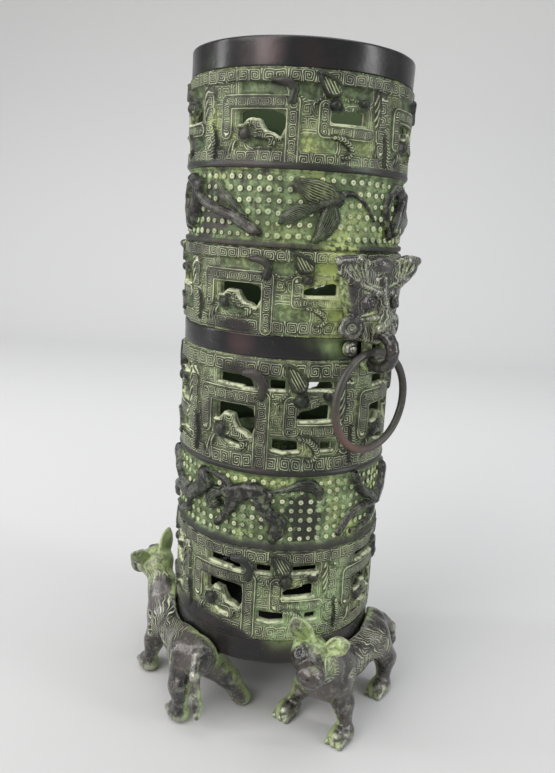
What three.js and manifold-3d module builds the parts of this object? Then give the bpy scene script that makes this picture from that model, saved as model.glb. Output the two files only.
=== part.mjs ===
// Openwork bronze vessel on three walking beasts, in millimetres, +Z up.
// The origin is on the tube's axis at the underside of the base.
import * as THREE from 'three';
import { mergeVertices } from 'three/addons/utils/BufferGeometryUtils.js';
import Module from 'manifold-3d';

const wasm = await Module();
wasm.setup();

// Tube
const tubeRadius = 50;
const wallThickness = 4;
const tubeFacets = 28;
const collarStep = 0.8; // plain collars stand this much inside the openwork
const groundStep = 1.3; // dotted grounds lie this much inside the openwork
const seatGap = 0.3; // between pieces that touch across a cut or a turned group

// Heights of the stacked castings, from the base up
const baseCollarHeight = 12;
const dragonBand4Height = 45.5;
const lowerDottedHeight = 35;
const dragonBand3Height = 51.65;
const middleCollarHeight = 9.65;
const dragonBand2Height = 36.2;
const upperDottedHeight = 30.8;
const dragonBand1Height = 37.95;
const rimCollarHeight = 11.25;

// Lap joints between the castings
const lapHeight = 2;
const lapThickness = 1.8;
const lapGap = 0.15;

// Floor
const floorThickness = 3;
const floorStep = 0.5; // the floor's outer part lies this much above its flat middle

// Ridge at the foot of each dotted band
const ridgeHeight = 2;

// Openwork pattern, four units round each dragon band
const unitCount = 4;
const unitAngle = (2 * Math.PI) / unitCount;
const fieldDepth = 1.3; // sunk fields between the raised strips
const hookHeight = 1.2; // hooks, eyes and ears above the strips
const hookWidth = 3.8;
const dragonEyeRadius = 2.7;

// Where each band's pattern starts, in degrees
const dragonBand4Turn = -47.4;
const dragonBand3Turn = -45.4;
const dragonBand2Turn = -45.9;
const dragonBand1Turn = -38.4;

// Relief animals on the dotted bands
const animalCount = 3;
const reliefHeight = 2.2;
const reliefHeadHeight = 4;
const limbWidth = 10; // the widest limb of a relief animal

// Masks
const maskHeight = 37.7;
const maskBottomAboveMiddle = 7.3; // mask's chin above the foot of the middle collar
const faceStandOut = 7.5; // the face's front beyond the tube
const earThickness = 3.4;
const earSpan = 53;
const eyeRadius = 4;
const eyeStandOut = 2.2;
const browRadius = 2.6;
const noseStandOut = 12;
const noseTopRadius = 3;
const noseTipRadius = 4.5;

// Nose loops and rings
const ringOuterDiameter = 46.8;
const ringWire = 3.4;
const hingeStandOut = 6; // hinge line beyond the tube
const hingeBelowMask = 3.2;
const loopStock = 5.6;
const loopBore = 9;
const loopForward = 2.5; // loop's centre in front of the hinge line
const ringRest = 0.15; // play between the ring's wire and the loop it rests in

// Carrying beasts
const beastCount = 3;
const legHeight = 35; // from the floor to the underside of the base
const beastInset = 6; // the beasts' middle line inside the tube's wall
const bodyLength = 50; // from the shoulder to the rump
const bodyWidth = 22;
const hipRadius = 9;
const kneeRadius = 5.7;
const ankleRadius = 4.2;
const pawRadius = 5;
const earHalfWidth = 5;
const tailRadius = 2.6;
const firstBeastTurn = 11.6;

const toRadians = THREE.MathUtils.degToRad;
const rimRadius = tubeRadius - collarStep;
const groundRadius = tubeRadius - groundStep;
const fieldRadius = tubeRadius - fieldDepth;
const boreRadius = tubeRadius - wallThickness;
const maskFaceRadius = tubeRadius + faceStandOut;
const noseReach = tubeRadius + noseStandOut;
const hingeRadius = tubeRadius + hingeStandOut;
const beastCentreRadius = tubeRadius - beastInset;
const floorMiddleRadius = beastCentreRadius - bodyWidth / 2 - seatGap; // clears the beasts' backs

const darkBronze = { color: 0x2b2826, roughness: 0.45, metalness: 0.6 };
const greenBronze = { color: 0x5c6f48, roughness: 0.7, metalness: 0.3 };
const beastBronze = { color: 0x4c463e, roughness: 0.6, metalness: 0.4 };

const vessel = new THREE.Group();

function addPiece(name, geometry, finish, parent = vessel) {
  const piece = new THREE.Mesh(geometry, new THREE.MeshStandardMaterial(finish));
  piece.name = name;
  parent.add(piece);
  return piece;
}

// Solids and cuts
function solidOf(geometry) {
  const bare = geometry.clone();
  bare.deleteAttribute('normal');
  bare.deleteAttribute('uv');
  const merged = mergeVertices(bare, 1e-4);
  return new wasm.Manifold(new wasm.Mesh({
    numProp: 3,
    vertProperties: new Float32Array(merged.attributes.position.array),
    triVerts: new Uint32Array(merged.index.array),
  }));
}

function geometryOf(solid) {
  const mesh = solid.getMesh();
  const geometry = new THREE.BufferGeometry();
  geometry.setAttribute('position', new THREE.BufferAttribute(mesh.vertProperties, 3));
  geometry.setIndex(new THREE.BufferAttribute(mesh.triVerts, 1));
  geometry.computeVertexNormals();
  return geometry;
}

function joined(solids) {
  return solids.reduce((whole, next) => whole.add(next));
}

// A closed profile of [radius, z] points, anticlockwise, turned about Z
function turned(profile, facets = tubeFacets) {
  const points = [...profile, profile[0]].map(([r, z]) => new THREE.Vector2(r, z));
  const geometry = new THREE.LatheGeometry(points, facets);
  geometry.rotateX(Math.PI / 2);
  return solidOf(geometry);
}

// A block bounded by two angles, two heights and two radii
function wedge(angle0, angle1, z0, z1, r0, r1) {
  const geometry = new THREE.BoxGeometry(1, 1, 1);
  const place = geometry.attributes.position;
  for (let i = 0; i < place.count; i += 1) {
    const r = THREE.MathUtils.lerp(r0, r1, place.getX(i) + 0.5);
    const angle = THREE.MathUtils.lerp(angle0, angle1, place.getY(i) + 0.5);
    const z = THREE.MathUtils.lerp(z0, z1, place.getZ(i) + 0.5);
    place.setXYZ(i, r * Math.cos(angle), r * Math.sin(angle), z);
  }
  return solidOf(geometry);
}

// A flat outline of [angle, z] points bent round the tube between two radii.
// An island left standing in it runs the same way round.
function bentPlate(outline, r0, r1, island = []) {
  const shape = new THREE.Shape(outline.map(([angle, z]) => new THREE.Vector2(angle, z)));
  if (island.length > 0) {
    const edge = island.map(([angle, z]) => new THREE.Vector2(angle, z));
    shape.holes.push(new THREE.Path(edge.reverse()));
  }
  const geometry = new THREE.ExtrudeGeometry(shape, { depth: 1, bevelEnabled: false });
  const place = geometry.attributes.position;
  for (let i = 0; i < place.count; i += 1) {
    const angle = place.getX(i);
    const r = THREE.MathUtils.lerp(r0 - wallThickness, 2 * r1, place.getZ(i));
    place.setXYZ(i, r * Math.cos(angle), r * Math.sin(angle), place.getY(i));
  }
  const heights = outline.map(([, z]) => z);
  const low = Math.min(...heights) - 1;
  const high = Math.max(...heights) + 1;
  return solidOf(geometry).intersect(turned([[r0, low], [r1, low], [r1, high], [r0, high]]));
}

function ball(centre, size, across = 10, down = 7) {
  const geometry = new THREE.SphereGeometry(1, across, down);
  geometry.scale(...size);
  geometry.translate(...centre);
  return solidOf(geometry);
}

// A round bar between two points, with its own radius at each end
function bar(from, to, radius0, radius1, sides = 8) {
  const start = new THREE.Vector3(...from);
  const along = new THREE.Vector3(...to).sub(start);
  const geometry = new THREE.CylinderGeometry(radius1, radius0, along.length(), sides);
  geometry.translate(0, along.length() / 2, 0);
  const turn = new THREE.Quaternion().setFromUnitVectors(
    new THREE.Vector3(0, 1, 0), along.clone().normalize());
  geometry.applyQuaternion(turn);
  geometry.translate(start.x, start.y, start.z);
  return solidOf(geometry);
}

// Where each casting starts
const dragonBand4Z = baseCollarHeight;
const lowerDottedZ = dragonBand4Z + dragonBand4Height;
const dragonBand3Z = lowerDottedZ + lowerDottedHeight;
const middleCollarZ = dragonBand3Z + dragonBand3Height;
const dragonBand2Z = middleCollarZ + middleCollarHeight;
const upperDottedZ = dragonBand2Z + dragonBand2Height;
const dragonBand1Z = upperDottedZ + upperDottedHeight;
const rimCollarZ = dragonBand1Z + dragonBand1Height;
const maskZ = middleCollarZ + maskBottomAboveMiddle;

// One casting of the tube: a spigot on its top enters a rebate in the foot of the next
function tubeSection(z, height, radius, { spigot = true, rebate = true, ridge = false } = {}) {
  const top = z + height;
  const spigotRadius = boreRadius + lapThickness;
  const rebateRadius = spigotRadius + lapGap;
  const profile = [];
  if (rebate) {
    profile.push([boreRadius, z + lapHeight + lapGap]);
    profile.push([rebateRadius, z + lapHeight + lapGap], [rebateRadius, z]);
  } else {
    profile.push([boreRadius, z]);
  }
  if (ridge) {
    profile.push([tubeRadius, z], [tubeRadius, z + ridgeHeight], [radius, z + ridgeHeight]);
  } else {
    profile.push([radius, z]);
  }
  profile.push([radius, top]);
  if (spigot) {
    profile.push([spigotRadius, top], [spigotRadius, top + lapHeight]);
    profile.push([boreRadius, top + lapHeight]);
  } else {
    profile.push([boreRadius, top]);
  }
  return turned(profile);
}

// One pattern unit, in degrees from its divider and shares of the height from the top
const unitWindows = [
  [[-33, 0.18], [-15, 0.18], [-13.5, 0.255], [-33, 0.25]],
  [[-3, 0.19], [4, 0.19], [4, 0.25], [-3, 0.25]],
  [[15, 0.19], [29, 0.19], [29, 0.24], [15, 0.24]],
  [[-33.5, 0.44], [-13, 0.44], [-11.6, 0.5], [-13, 0.67],
    [-19, 0.61], [-22.5, 0.5], [-31, 0.5], [-33.5, 0.56]],
  [[11, 0.47], [27.5, 0.39], [27.5, 0.51], [11, 0.51]],
  [[-1.5, 0.69], [11.5, 0.7], [11.5, 0.77], [-1.5, 0.77]],
];
const headField = [[-36, 0.42], [-11.3, 0.42], [-11.3, 0.84], [-45, 0.84], [-45, 0.67], [-36, 0.67]];
const bodyField = [[-34, 0.155], [32.5, 0.155], [32.5, 0.84], [-3, 0.84], [-3, 0.27], [-34, 0.27]];
const bodyIsland = [[3, 0.34], [11, 0.34], [11, 0.54], [31, 0.54], [31, 0.67], [3, 0.67]];
const unitGroove = [[41.8, 0.155], [44, 0.155], [44, 0.84], [41.8, 0.84]];
const dragonEar = [[3, 0.03], [12, 0.1], [14, 0.26], [6, 0.26]];
const dragonEyes = [[-30, 0.66], [12, 0.345]];
const upperHook = [[-17, 0.14], [-8.5, 0.16], [-7.5, 0.34]];
const lowerHook = [[12, 0.67], [20, 0.72], [19, 0.86]];

function openworkBand(z, height, dividerTurn, windows = unitWindows) {
  const inWall = (boreRadius + fieldRadius) / 2;
  const hookRadius = tubeRadius + hookHeight;
  const sunk = [];
  const raised = [];
  for (let unit = 0; unit < unitCount; unit += 1) {
    const start = toRadians(dividerTurn) + unit * unitAngle;
    const placed = (outline) => outline.map(([degrees, share]) => [
      start + toRadians(degrees), z + height * (1 - share)]);
    const hook = (points) => stroke(z, height, start, points.map(() => hookWidth),
      points.map(([degrees, share]) => [degrees, 1 - share]));
    sunk.push(bentPlate(placed(headField), fieldRadius, hookRadius));
    sunk.push(bentPlate(placed(bodyField), fieldRadius, hookRadius, placed(bodyIsland)));
    sunk.push(bentPlate(placed(unitGroove), fieldRadius, hookRadius));
    for (const gap of windows) {
      sunk.push(bentPlate(placed(gap), boreRadius - wallThickness, hookRadius));
    }
    raised.push(bentPlate(hook(upperHook), inWall, hookRadius));
    raised.push(bentPlate(hook(lowerHook), inWall, hookRadius));
    raised.push(bentPlate(placed(dragonEar), inWall, hookRadius));
    for (const [angle, level] of placed(dragonEyes)) {
      const at = (r) => [r * Math.cos(angle), r * Math.sin(angle), level];
      raised.push(bar(at(inWall), at(hookRadius), dragonEyeRadius, dragonEyeRadius / 2, 6));
    }
  }
  return tubeSection(z, height, tubeRadius).subtract(joined(sunk)).add(joined(raised));
}

// Clears the raised forms from under the masks
function flatUnderMasks(band) {
  const half = Math.asin(earSpan / 3 / tubeRadius);
  const top = maskZ + maskHeight;
  const cuts = [0, Math.PI].map((turn) => bentPlate(
    [[turn - half, maskZ], [turn + half, maskZ], [turn + half, top], [turn - half, top]],
    tubeRadius, tubeRadius + hookHeight + seatGap));
  return band.subtract(joined(cuts));
}

// The two upper bands were cast with their row of slots closed
const slotsInRow = 3;
const windowsBelowSlots = unitWindows.slice(slotsInRow);

// Tube castings
addPiece('base_collar', geometryOf(
  tubeSection(0, baseCollarHeight, rimRadius, { rebate: false })), darkBronze);
addPiece('dragon_band_4', geometryOf(
  openworkBand(dragonBand4Z, dragonBand4Height, dragonBand4Turn)), greenBronze);
addPiece('dotted_band_lower', geometryOf(
  tubeSection(lowerDottedZ, lowerDottedHeight, groundRadius, { ridge: true })), greenBronze);
addPiece('dragon_band_3', geometryOf(
  openworkBand(dragonBand3Z, dragonBand3Height, dragonBand3Turn)), greenBronze);
addPiece('middle_collar', geometryOf(
  tubeSection(middleCollarZ, middleCollarHeight, rimRadius)), darkBronze);
addPiece('dragon_band_2', geometryOf(flatUnderMasks(
  openworkBand(dragonBand2Z, dragonBand2Height, dragonBand2Turn, windowsBelowSlots))), greenBronze);
addPiece('dotted_band_upper', geometryOf(
  tubeSection(upperDottedZ, upperDottedHeight, groundRadius, { ridge: true })), greenBronze);
addPiece('dragon_band_1', geometryOf(
  openworkBand(dragonBand1Z, dragonBand1Height, dragonBand1Turn, windowsBelowSlots)), greenBronze);
addPiece('rim_collar', geometryOf(
  tubeSection(rimCollarZ, rimCollarHeight, rimRadius, { spigot: false })), darkBronze);

// The floor lies inside the base collar, its flat middle flush with the collar's underside
function disc(radius, z0, z1) {
  const geometry = new THREE.CylinderGeometry(radius, radius, z1 - z0, tubeFacets);
  geometry.rotateX(Math.PI / 2);
  geometry.translate(0, 0, (z0 + z1) / 2);
  return solidOf(geometry);
}
addPiece('floor_plate', geometryOf(joined([
  disc(boreRadius - seatGap, floorStep, floorThickness), disc(floorMiddleRadius, 0, floorThickness),
])), darkBronze);

// A tapering band with its widths, through [degrees, share of the height] points
function stroke(z, height, startAngle, width, points) {
  const centres = points.map(([degrees, share]) => new THREE.Vector2(
    toRadians(degrees) * tubeRadius, z + height * share));
  const left = [];
  const right = [];
  centres.forEach((centre, i) => {
    const before = centres[Math.max(0, i - 1)];
    const after = centres[Math.min(centres.length - 1, i + 1)];
    const side = after.clone().sub(before).normalize().rotateAround(new THREE.Vector2(), Math.PI / 2);
    const half = width[i] / 2;
    left.push(centre.clone().addScaledVector(side, half));
    right.unshift(centre.clone().addScaledVector(side, -half));
  });
  return [...right.reverse(), ...left.reverse()]
    .map((point) => [startAngle + point.x / tubeRadius, point.y]);
}

function reliefAnimal(z, height, startAngle, strokes) {
  const inside = groundRadius + seatGap;
  return geometryOf(joined(strokes.map(({ width, points, tall }) => bentPlate(
    stroke(z, height, startAngle, width.map((share) => share * limbWidth), points),
    inside, groundRadius + (tall ? reliefHeadHeight : reliefHeight)))));
}

// Flying bird: three feather fans, a body, and a long arched neck with a small head.
// Widths are shares of the widest limb.
const birdStrokes = [
  { width: [0.7, 0.6, 0.9], points: [[-3, 0.36], [4, 0.46], [12, 0.6]], tall: true },
  { width: [0.6, 0.8, 0.5], points: [[11, 0.6], [6, 0.74], [0, 0.84]] },
  { width: [0.8, 0.9, 0.4], points: [[11, 0.6], [14, 0.4], [18, 0.12]] },
  { width: [0.7, 0.4, 0.3, 0.3, 0.4, 0.3],
    points: [[10, 0.62], [19, 0.7], [27, 0.72], [34, 0.66], [39, 0.52], [42, 0.38]] },
];

// Crouching beast: a body with a long crest behind and two legs
const upperBeastStrokes = [
  { width: [0.6, 1, 0.9, 0.5], points: [[-18, 0.62], [-10, 0.66], [0, 0.6], [8, 0.5]], tall: true },
  { width: [0.5, 0.6, 0.3], points: [[5, 0.56], [16, 0.66], [26, 0.4]] },
  { width: [0.5, 0.6, 0.3], points: [[2, 0.5], [14, 0.38], [28, 0.12]] },
  { width: [0.5, 0.4, 0.4], points: [[-12, 0.6], [-16, 0.34], [-12, 0.16]] },
];

// Striding beast: long back, raised head, legs and a tail that curls over
const lowerBeastStrokes = [
  { width: [0.5, 0.8, 0.9, 0.8, 0.6],
    points: [[-26, 0.72], [-17, 0.72], [-8, 0.74], [2, 0.72], [9, 0.66]], tall: true },
  { width: [0.6, 0.7, 0.5], points: [[-22, 0.76], [-29, 0.66], [-34, 0.54]], tall: true },
  { width: [0.6, 0.5, 0.5], points: [[-22, 0.66], [-27, 0.36], [-26, 0.1]] },
  { width: [0.7, 0.5, 0.5], points: [[6, 0.64], [12, 0.34], [11, 0.06]] },
  { width: [0.5, 0.4, 0.4, 0.6], points: [[8, 0.72], [20, 0.86], [31, 0.8], [35, 0.58]] },
];

// Climbing animal: an S-shaped body with a leg at each end
const climberStrokes = [
  { width: [0.4, 0.6, 0.7, 0.6, 0.4],
    points: [[-12, 0.9], [-6, 0.7], [2, 0.56], [11, 0.66], [18, 0.86]], tall: true },
  { width: [0.6, 0.5, 0.4], points: [[0, 0.56], [-12, 0.38], [-18, 0.08]] },
  { width: [0.5, 0.4, 0.4], points: [[8, 0.6], [14, 0.3], [9, 0.08]] },
];

const animalBands = [
  ['upper_bird', birdStrokes, upperDottedZ, upperDottedHeight, -42.4],
  ['upper_beast', upperBeastStrokes, upperDottedZ, upperDottedHeight, -95.4],
  ['lower_beast', lowerBeastStrokes, lowerDottedZ, lowerDottedHeight, -54.4],
  ['lower_climber', climberStrokes, lowerDottedZ, lowerDottedHeight, 8.6],
];
for (const [name, strokes, z, height, start] of animalBands) {
  for (let i = 0; i < animalCount; i += 1) {
    const angle = toRadians(start) + (i * 2 * Math.PI) / animalCount;
    const lift = z + ridgeHeight;
    addPiece(`${name}_${i + 1}`,
      reliefAnimal(lift, height - ridgeHeight, angle, strokes), darkBronze);
  }
}

// Masks: seen from the front, half outlines of [sideways, share of the height]
const faceHalfOutline = [
  [0, 0.93], [0.2, 0.95], [0.36, 0.84], [0.54, 0.66], [0.52, 0.5], [0.46, 0.34],
  [0.56, 0.22], [0.5, 0.1], [0.3, 0.02], [0, 0],
];
const earOutline = [
  [0.36, 0.84], [0.5, 0.97], [0.7, 1], [0.92, 0.95], [1, 0.86], [0.86, 0.8], [0.74, 0.66], [0.58, 0.58],
];

// Stands a flat outline up, facing +X, between two distances from the axis
function standingPlate(outline, near, far) {
  const shape = new THREE.Shape(outline.map(([y, z]) => new THREE.Vector2(y, z)));
  const geometry = new THREE.ExtrudeGeometry(shape, { depth: far - near, bevelEnabled: false });
  geometry.rotateX(Math.PI / 2);
  geometry.rotateZ(Math.PI / 2);
  geometry.translate(near, 0, 0);
  return solidOf(geometry);
}

function tubeClearance() {
  const radius = tubeRadius + seatGap;
  const low = -legHeight;
  const high = rimCollarZ + rimCollarHeight;
  return disc(radius, low, high);
}

function maskSolid() {
  const half = earSpan / 2;
  const placed = (outline, side) => outline.map(([y, z]) => [side * y * half, maskZ + z * maskHeight]);
  const right = placed(faceHalfOutline, 1);
  const left = placed(faceHalfOutline, -1).reverse().slice(1, -1);
  const parts = [standingPlate([...left, ...right].reverse(), boreRadius, maskFaceRadius)];
  for (const side of [-1, 1]) {
    const ear = placed(earOutline, side);
    const facing = side > 0 ? ear.reverse() : ear;
    parts.push(standingPlate(facing, hingeRadius - earThickness, hingeRadius));
    parts.push(ball([maskFaceRadius, side * half * 0.33, maskZ + maskHeight * 0.5],
      [eyeStandOut, eyeRadius, eyeRadius], 8, 6));
    parts.push(ball([maskFaceRadius - browRadius * 0.4, side * half * 0.3, maskZ + maskHeight * 0.68],
      [browRadius, half * 0.3, browRadius], 8, 6));
  }
  parts.push(bar([maskFaceRadius - noseTopRadius, 0, maskZ + maskHeight * 0.75],
    [noseReach - noseTipRadius, 0, maskZ + maskHeight * 0.2], noseTopRadius, noseTipRadius));
  return joined(parts).subtract(tubeClearance());
}

// Nose loops: a curl from the mask's nose out, down and back to the wall
const hingeZ = maskZ - hingeBelowMask;
const loopRadius = (loopBore + loopStock) / 2;
const loopCentreX = hingeRadius + loopForward;
const loopCentreZ = hingeZ + Math.sqrt(((loopBore - ringWire) / 2 - ringRest) ** 2 - loopForward ** 2);

function loopSolid() {
  const from = toRadians(115);
  const to = toRadians(-150);
  const path = new THREE.CatmullRomCurve3(Array.from({ length: 9 }, (_, i) => {
    const angle = THREE.MathUtils.lerp(from, to, i / 8);
    return new THREE.Vector3(
      loopCentreX + loopRadius * Math.cos(angle), 0, loopCentreZ + loopRadius * Math.sin(angle));
  }));
  const section = new THREE.Shape(Array.from({ length: 8 }, (_, i) => new THREE.Vector2(
    (loopStock / 2) * Math.cos((i * Math.PI) / 4), (loopStock / 2) * Math.sin((i * Math.PI) / 4))));
  const geometry = new THREE.ExtrudeGeometry(
    section, { steps: 11, bevelEnabled: false, extrudePath: path });
  return solidOf(geometry).subtract(tubeClearance());
}

function ringGeometry() {
  const radius = (ringOuterDiameter - ringWire) / 2;
  const geometry = new THREE.TorusGeometry(radius, ringWire / 2, 8, 24);
  geometry.rotateY(Math.PI / 2);
  geometry.translate(0, 0, -radius);
  return geometryOf(solidOf(geometry));
}

// The loop's own room in the mask, a little larger than the loop
function loopSpace() {
  const outer = loopRadius + loopStock / 2 + seatGap;
  const geometry = new THREE.CylinderGeometry(outer, outer, loopStock + 2 * seatGap, 20);
  geometry.translate(loopCentreX, 0, loopCentreZ);
  return solidOf(geometry);
}

const loop = loopSolid();
const mask = maskSolid().subtract(loopSpace());
for (const [side, turn] of [['right', 0], ['left', Math.PI]]) {
  const group = new THREE.Group();
  group.rotation.z = turn;
  vessel.add(group);
  addPiece(`mask_${side}`, geometryOf(mask), darkBronze, group);
  addPiece(`nose_loop_${side}`, geometryOf(loop), darkBronze, group);
  const ring = addPiece(`ring_${side}`, ringGeometry(), darkBronze, group);
  ring.position.set(hingeRadius, 0, hingeZ);
}

// Carrying beasts: modelled at +X, walking towards -Y

// A body through stations of [centre, half-width, half-height], closed by a point at each end
function lofted(stations, sides) {
  const centres = stations.map(([centre]) => new THREE.Vector3(...centre));
  const places = [];
  const run = centres[centres.length - 1].clone().sub(centres[0]).normalize();
  const guide = Math.abs(run.z) > 0.7 ? new THREE.Vector3(0, -1, 0) : new THREE.Vector3(0, 0, 1);
  centres.forEach((centre, i) => {
    const along = centres[Math.min(i + 1, centres.length - 1)].clone()
      .sub(centres[Math.max(i - 1, 0)]).normalize();
    const up = guide.clone();
    const across = new THREE.Vector3().crossVectors(along, up).normalize();
    up.crossVectors(across, along);
    for (let k = 0; k < sides; k += 1) {
      const angle = (k * 2 * Math.PI) / sides;
      places.push(centre.clone()
        .addScaledVector(across, stations[i][1] * Math.cos(angle))
        .addScaledVector(up, stations[i][2] * Math.sin(angle)));
    }
  });
  const last = centres.length - 1;
  const first = places.push(centres[0]) - 1;
  const final = places.push(centres[last]) - 1;
  const faces = [];
  for (let k = 0; k < sides; k += 1) {
    const next = (k + 1) % sides;
    faces.push(first, k, next, final, last * sides + next, last * sides + k);
    for (let i = 0; i < last; i += 1) {
      const low = i * sides;
      const high = low + sides;
      faces.push(low + k, high + next, low + next, low + k, high + k, high + next);
    }
  }
  const geometry = new THREE.BufferGeometry().setFromPoints(places);
  geometry.setIndex(faces);
  return solidOf(geometry);
}

// Places on a beast are shares: outward of its width, along of its length, up of its leg
function onBeast([outward, along, up]) {
  return [beastCentreRadius + outward * bodyWidth, along * bodyLength, up * legHeight];
}

function beastForm(stations, sides) {
  return lofted(stations.map(([share, wide, tall]) => [
    onBeast(share), wide * bodyWidth, tall * legHeight]), sides);
}

// A round limb, its places as shares and its radii as sizes
function beastLimb(stations, sides) {
  return lofted(stations.map(([share, radius]) => [onBeast(share), radius, radius]), sides);
}

const beastLegs = [
  { hip: [0.32, -0.34, -0.17], knee: [0.68, -0.44, -0.51], ankle: [0.73, -0.5, -0.8] },
  { hip: [-0.14, -0.3, -0.23], knee: [-0.36, -0.4, -0.51], ankle: [-0.55, -0.46, -0.8] },
  { hip: [0.32, 0.38, -0.17], knee: [0.68, 0.44, -0.49], ankle: [0.66, 0.42, -0.8] },
  { hip: [-0.18, 0.38, -0.23], knee: [-0.64, 0.44, -0.51], ankle: [-1, 0.46, -0.8] },
];

function beastSolid() {
  const parts = [
    beastForm([
      [[0.18, 0.64, -0.06], 0.23, 0.17], [[0.18, 0.52, -0.06], 0.46, 0.34], [[0.18, 0.24, -0.14], 0.48, 0.34],
      [[0.14, -0.08, -0.17], 0.5, 0.34], [[0.18, -0.34, -0.09], 0.5, 0.37], [[0.27, -0.56, 0.14], 0.39, 0.29],
      [[0.36, -0.7, 0.37], 0.32, 0.2],
    ], 8),
    beastForm([
      [[0.27, -0.62, 0.43], 0.23, 0.17], [[0.34, -0.74, 0.46], 0.39, 0.21], [[0.39, -0.86, 0.44], 0.39, 0.2],
      [[0.45, -1, 0.37], 0.27, 0.16], [[0.48, -1.09, 0.34], 0.25, 0.14],
    ], 8),
    beastForm([
      [[0.18, -0.74, 0.51], 0.16, 0.09], [[0.05, -0.82, 0.71], earHalfWidth / bodyWidth, 0.06],
      [[0.05, -0.87, 0.89], 0.04, 0.02],
    ], 5),
    beastForm([
      [[0.59, -0.72, 0.51], 0.16, 0.09], [[0.75, -0.73, 0.61], earHalfWidth / bodyWidth, 0.06],
      [[0.93, -0.7, 0.66], 0.04, 0.02],
    ], 5),
    beastLimb([
      [[0.27, 0.56, 0], tailRadius], [[0.41, 0.72, -0.23], tailRadius],
      [[0.45, 0.74, -0.57], tailRadius * 0.8],
    ], 5),
  ];
  for (const { hip, knee, ankle } of beastLegs) {
    const heel = [ankle[0], ankle[1] - 0.04, -1.06];
    const [pawX, pawY] = onBeast(heel);
    parts.push(beastLimb([[hip, hipRadius], [knee, kneeRadius], [ankle, ankleRadius], [heel, pawRadius]], 6));
    parts.push(ball([pawX, pawY - pawRadius * 0.4, -legHeight + pawRadius * 0.6],
      [pawRadius, pawRadius * 1.5, pawRadius], 6, 4));
  }
  const reach = 4 * tubeRadius;
  const below = new THREE.BoxGeometry(reach, reach, legHeight);
  below.translate(0, 0, -legHeight * 1.5);
  const seat = disc(tubeRadius + seatGap, -seatGap, tubeRadius);
  return joined(parts).subtract(solidOf(below)).subtract(seat);
}

const beast = beastSolid();
for (let i = 0; i < beastCount; i += 1) {
  const group = new THREE.Group();
  group.rotation.z = toRadians(firstBeastTurn) + (i * 2 * Math.PI) / beastCount;
  vessel.add(group);
  addPiece(`carrying_beast_${i + 1}`, geometryOf(beast), beastBronze, group);
}

export default vessel;
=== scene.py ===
import math

import bmesh
import bpy
import numpy as np
from mathutils import Matrix, Vector
from mathutils.geometry import delaunay_2d_cdt


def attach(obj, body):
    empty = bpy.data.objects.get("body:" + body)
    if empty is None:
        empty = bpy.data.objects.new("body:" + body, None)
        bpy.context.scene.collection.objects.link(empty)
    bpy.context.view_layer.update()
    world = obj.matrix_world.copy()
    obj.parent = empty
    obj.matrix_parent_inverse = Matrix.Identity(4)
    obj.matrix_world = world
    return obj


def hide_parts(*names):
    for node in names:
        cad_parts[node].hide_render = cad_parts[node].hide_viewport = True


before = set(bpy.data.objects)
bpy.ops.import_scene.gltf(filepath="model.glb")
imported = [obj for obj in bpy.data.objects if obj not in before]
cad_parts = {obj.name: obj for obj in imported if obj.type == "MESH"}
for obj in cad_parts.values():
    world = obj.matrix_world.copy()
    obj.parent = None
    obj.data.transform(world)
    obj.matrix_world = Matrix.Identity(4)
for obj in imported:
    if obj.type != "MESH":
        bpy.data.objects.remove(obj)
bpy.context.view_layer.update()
mm = 0.001
cameraTurn = 47.6  # the photo's viewing angle round the vessel, in degrees
cameraSide = cameraTurn - 90  # the tube's angle that faces the camera


class Value:  # one output of a node, which takes part in formulas
    def __init__(self, tree, socket):
        self.tree = tree
        self.socket = socket

    def beside(self, key):  # another output of the same node
        return Value(self.tree, self.socket.node.outputs[key])

    def maths(self, kind, *others):
        return self.tree.node("ShaderNodeMath", dict(enumerate((self, *others))), operation=kind)

    def ramp(self, low, high):  # 0 at low, 1 at high, smooth between
        return self.tree.node("ShaderNodeMapRange", {0: self, 1: low, 2: high}, interpolation_type="SMOOTHSTEP")

    def __add__(self, other):
        return self.maths("ADD", other)

    def __sub__(self, other):
        return self.maths("SUBTRACT", other)

    def __rsub__(self, other):
        return self.maths("MULTIPLY_ADD", -1.0, other)

    def __mul__(self, other):
        return self.maths("MULTIPLY", other)

    def __neg__(self):
        return self * -1.0

    def __truediv__(self, other):
        return self.maths("DIVIDE", other)

    def __mod__(self, other):
        return self.maths("FLOORED_MODULO", other)

    def __pow__(self, other):
        return self.maths("POWER", other)

    def __abs__(self):
        return self.maths("ABSOLUTE")

    def fract(self):
        return self.maths("FRACT")

    def floor(self):
        return self.maths("FLOOR")

    def below(self, limit):
        return self.maths("LESS_THAN", limit)

    def above(self, limit):
        return self.maths("GREATER_THAN", limit)


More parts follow.
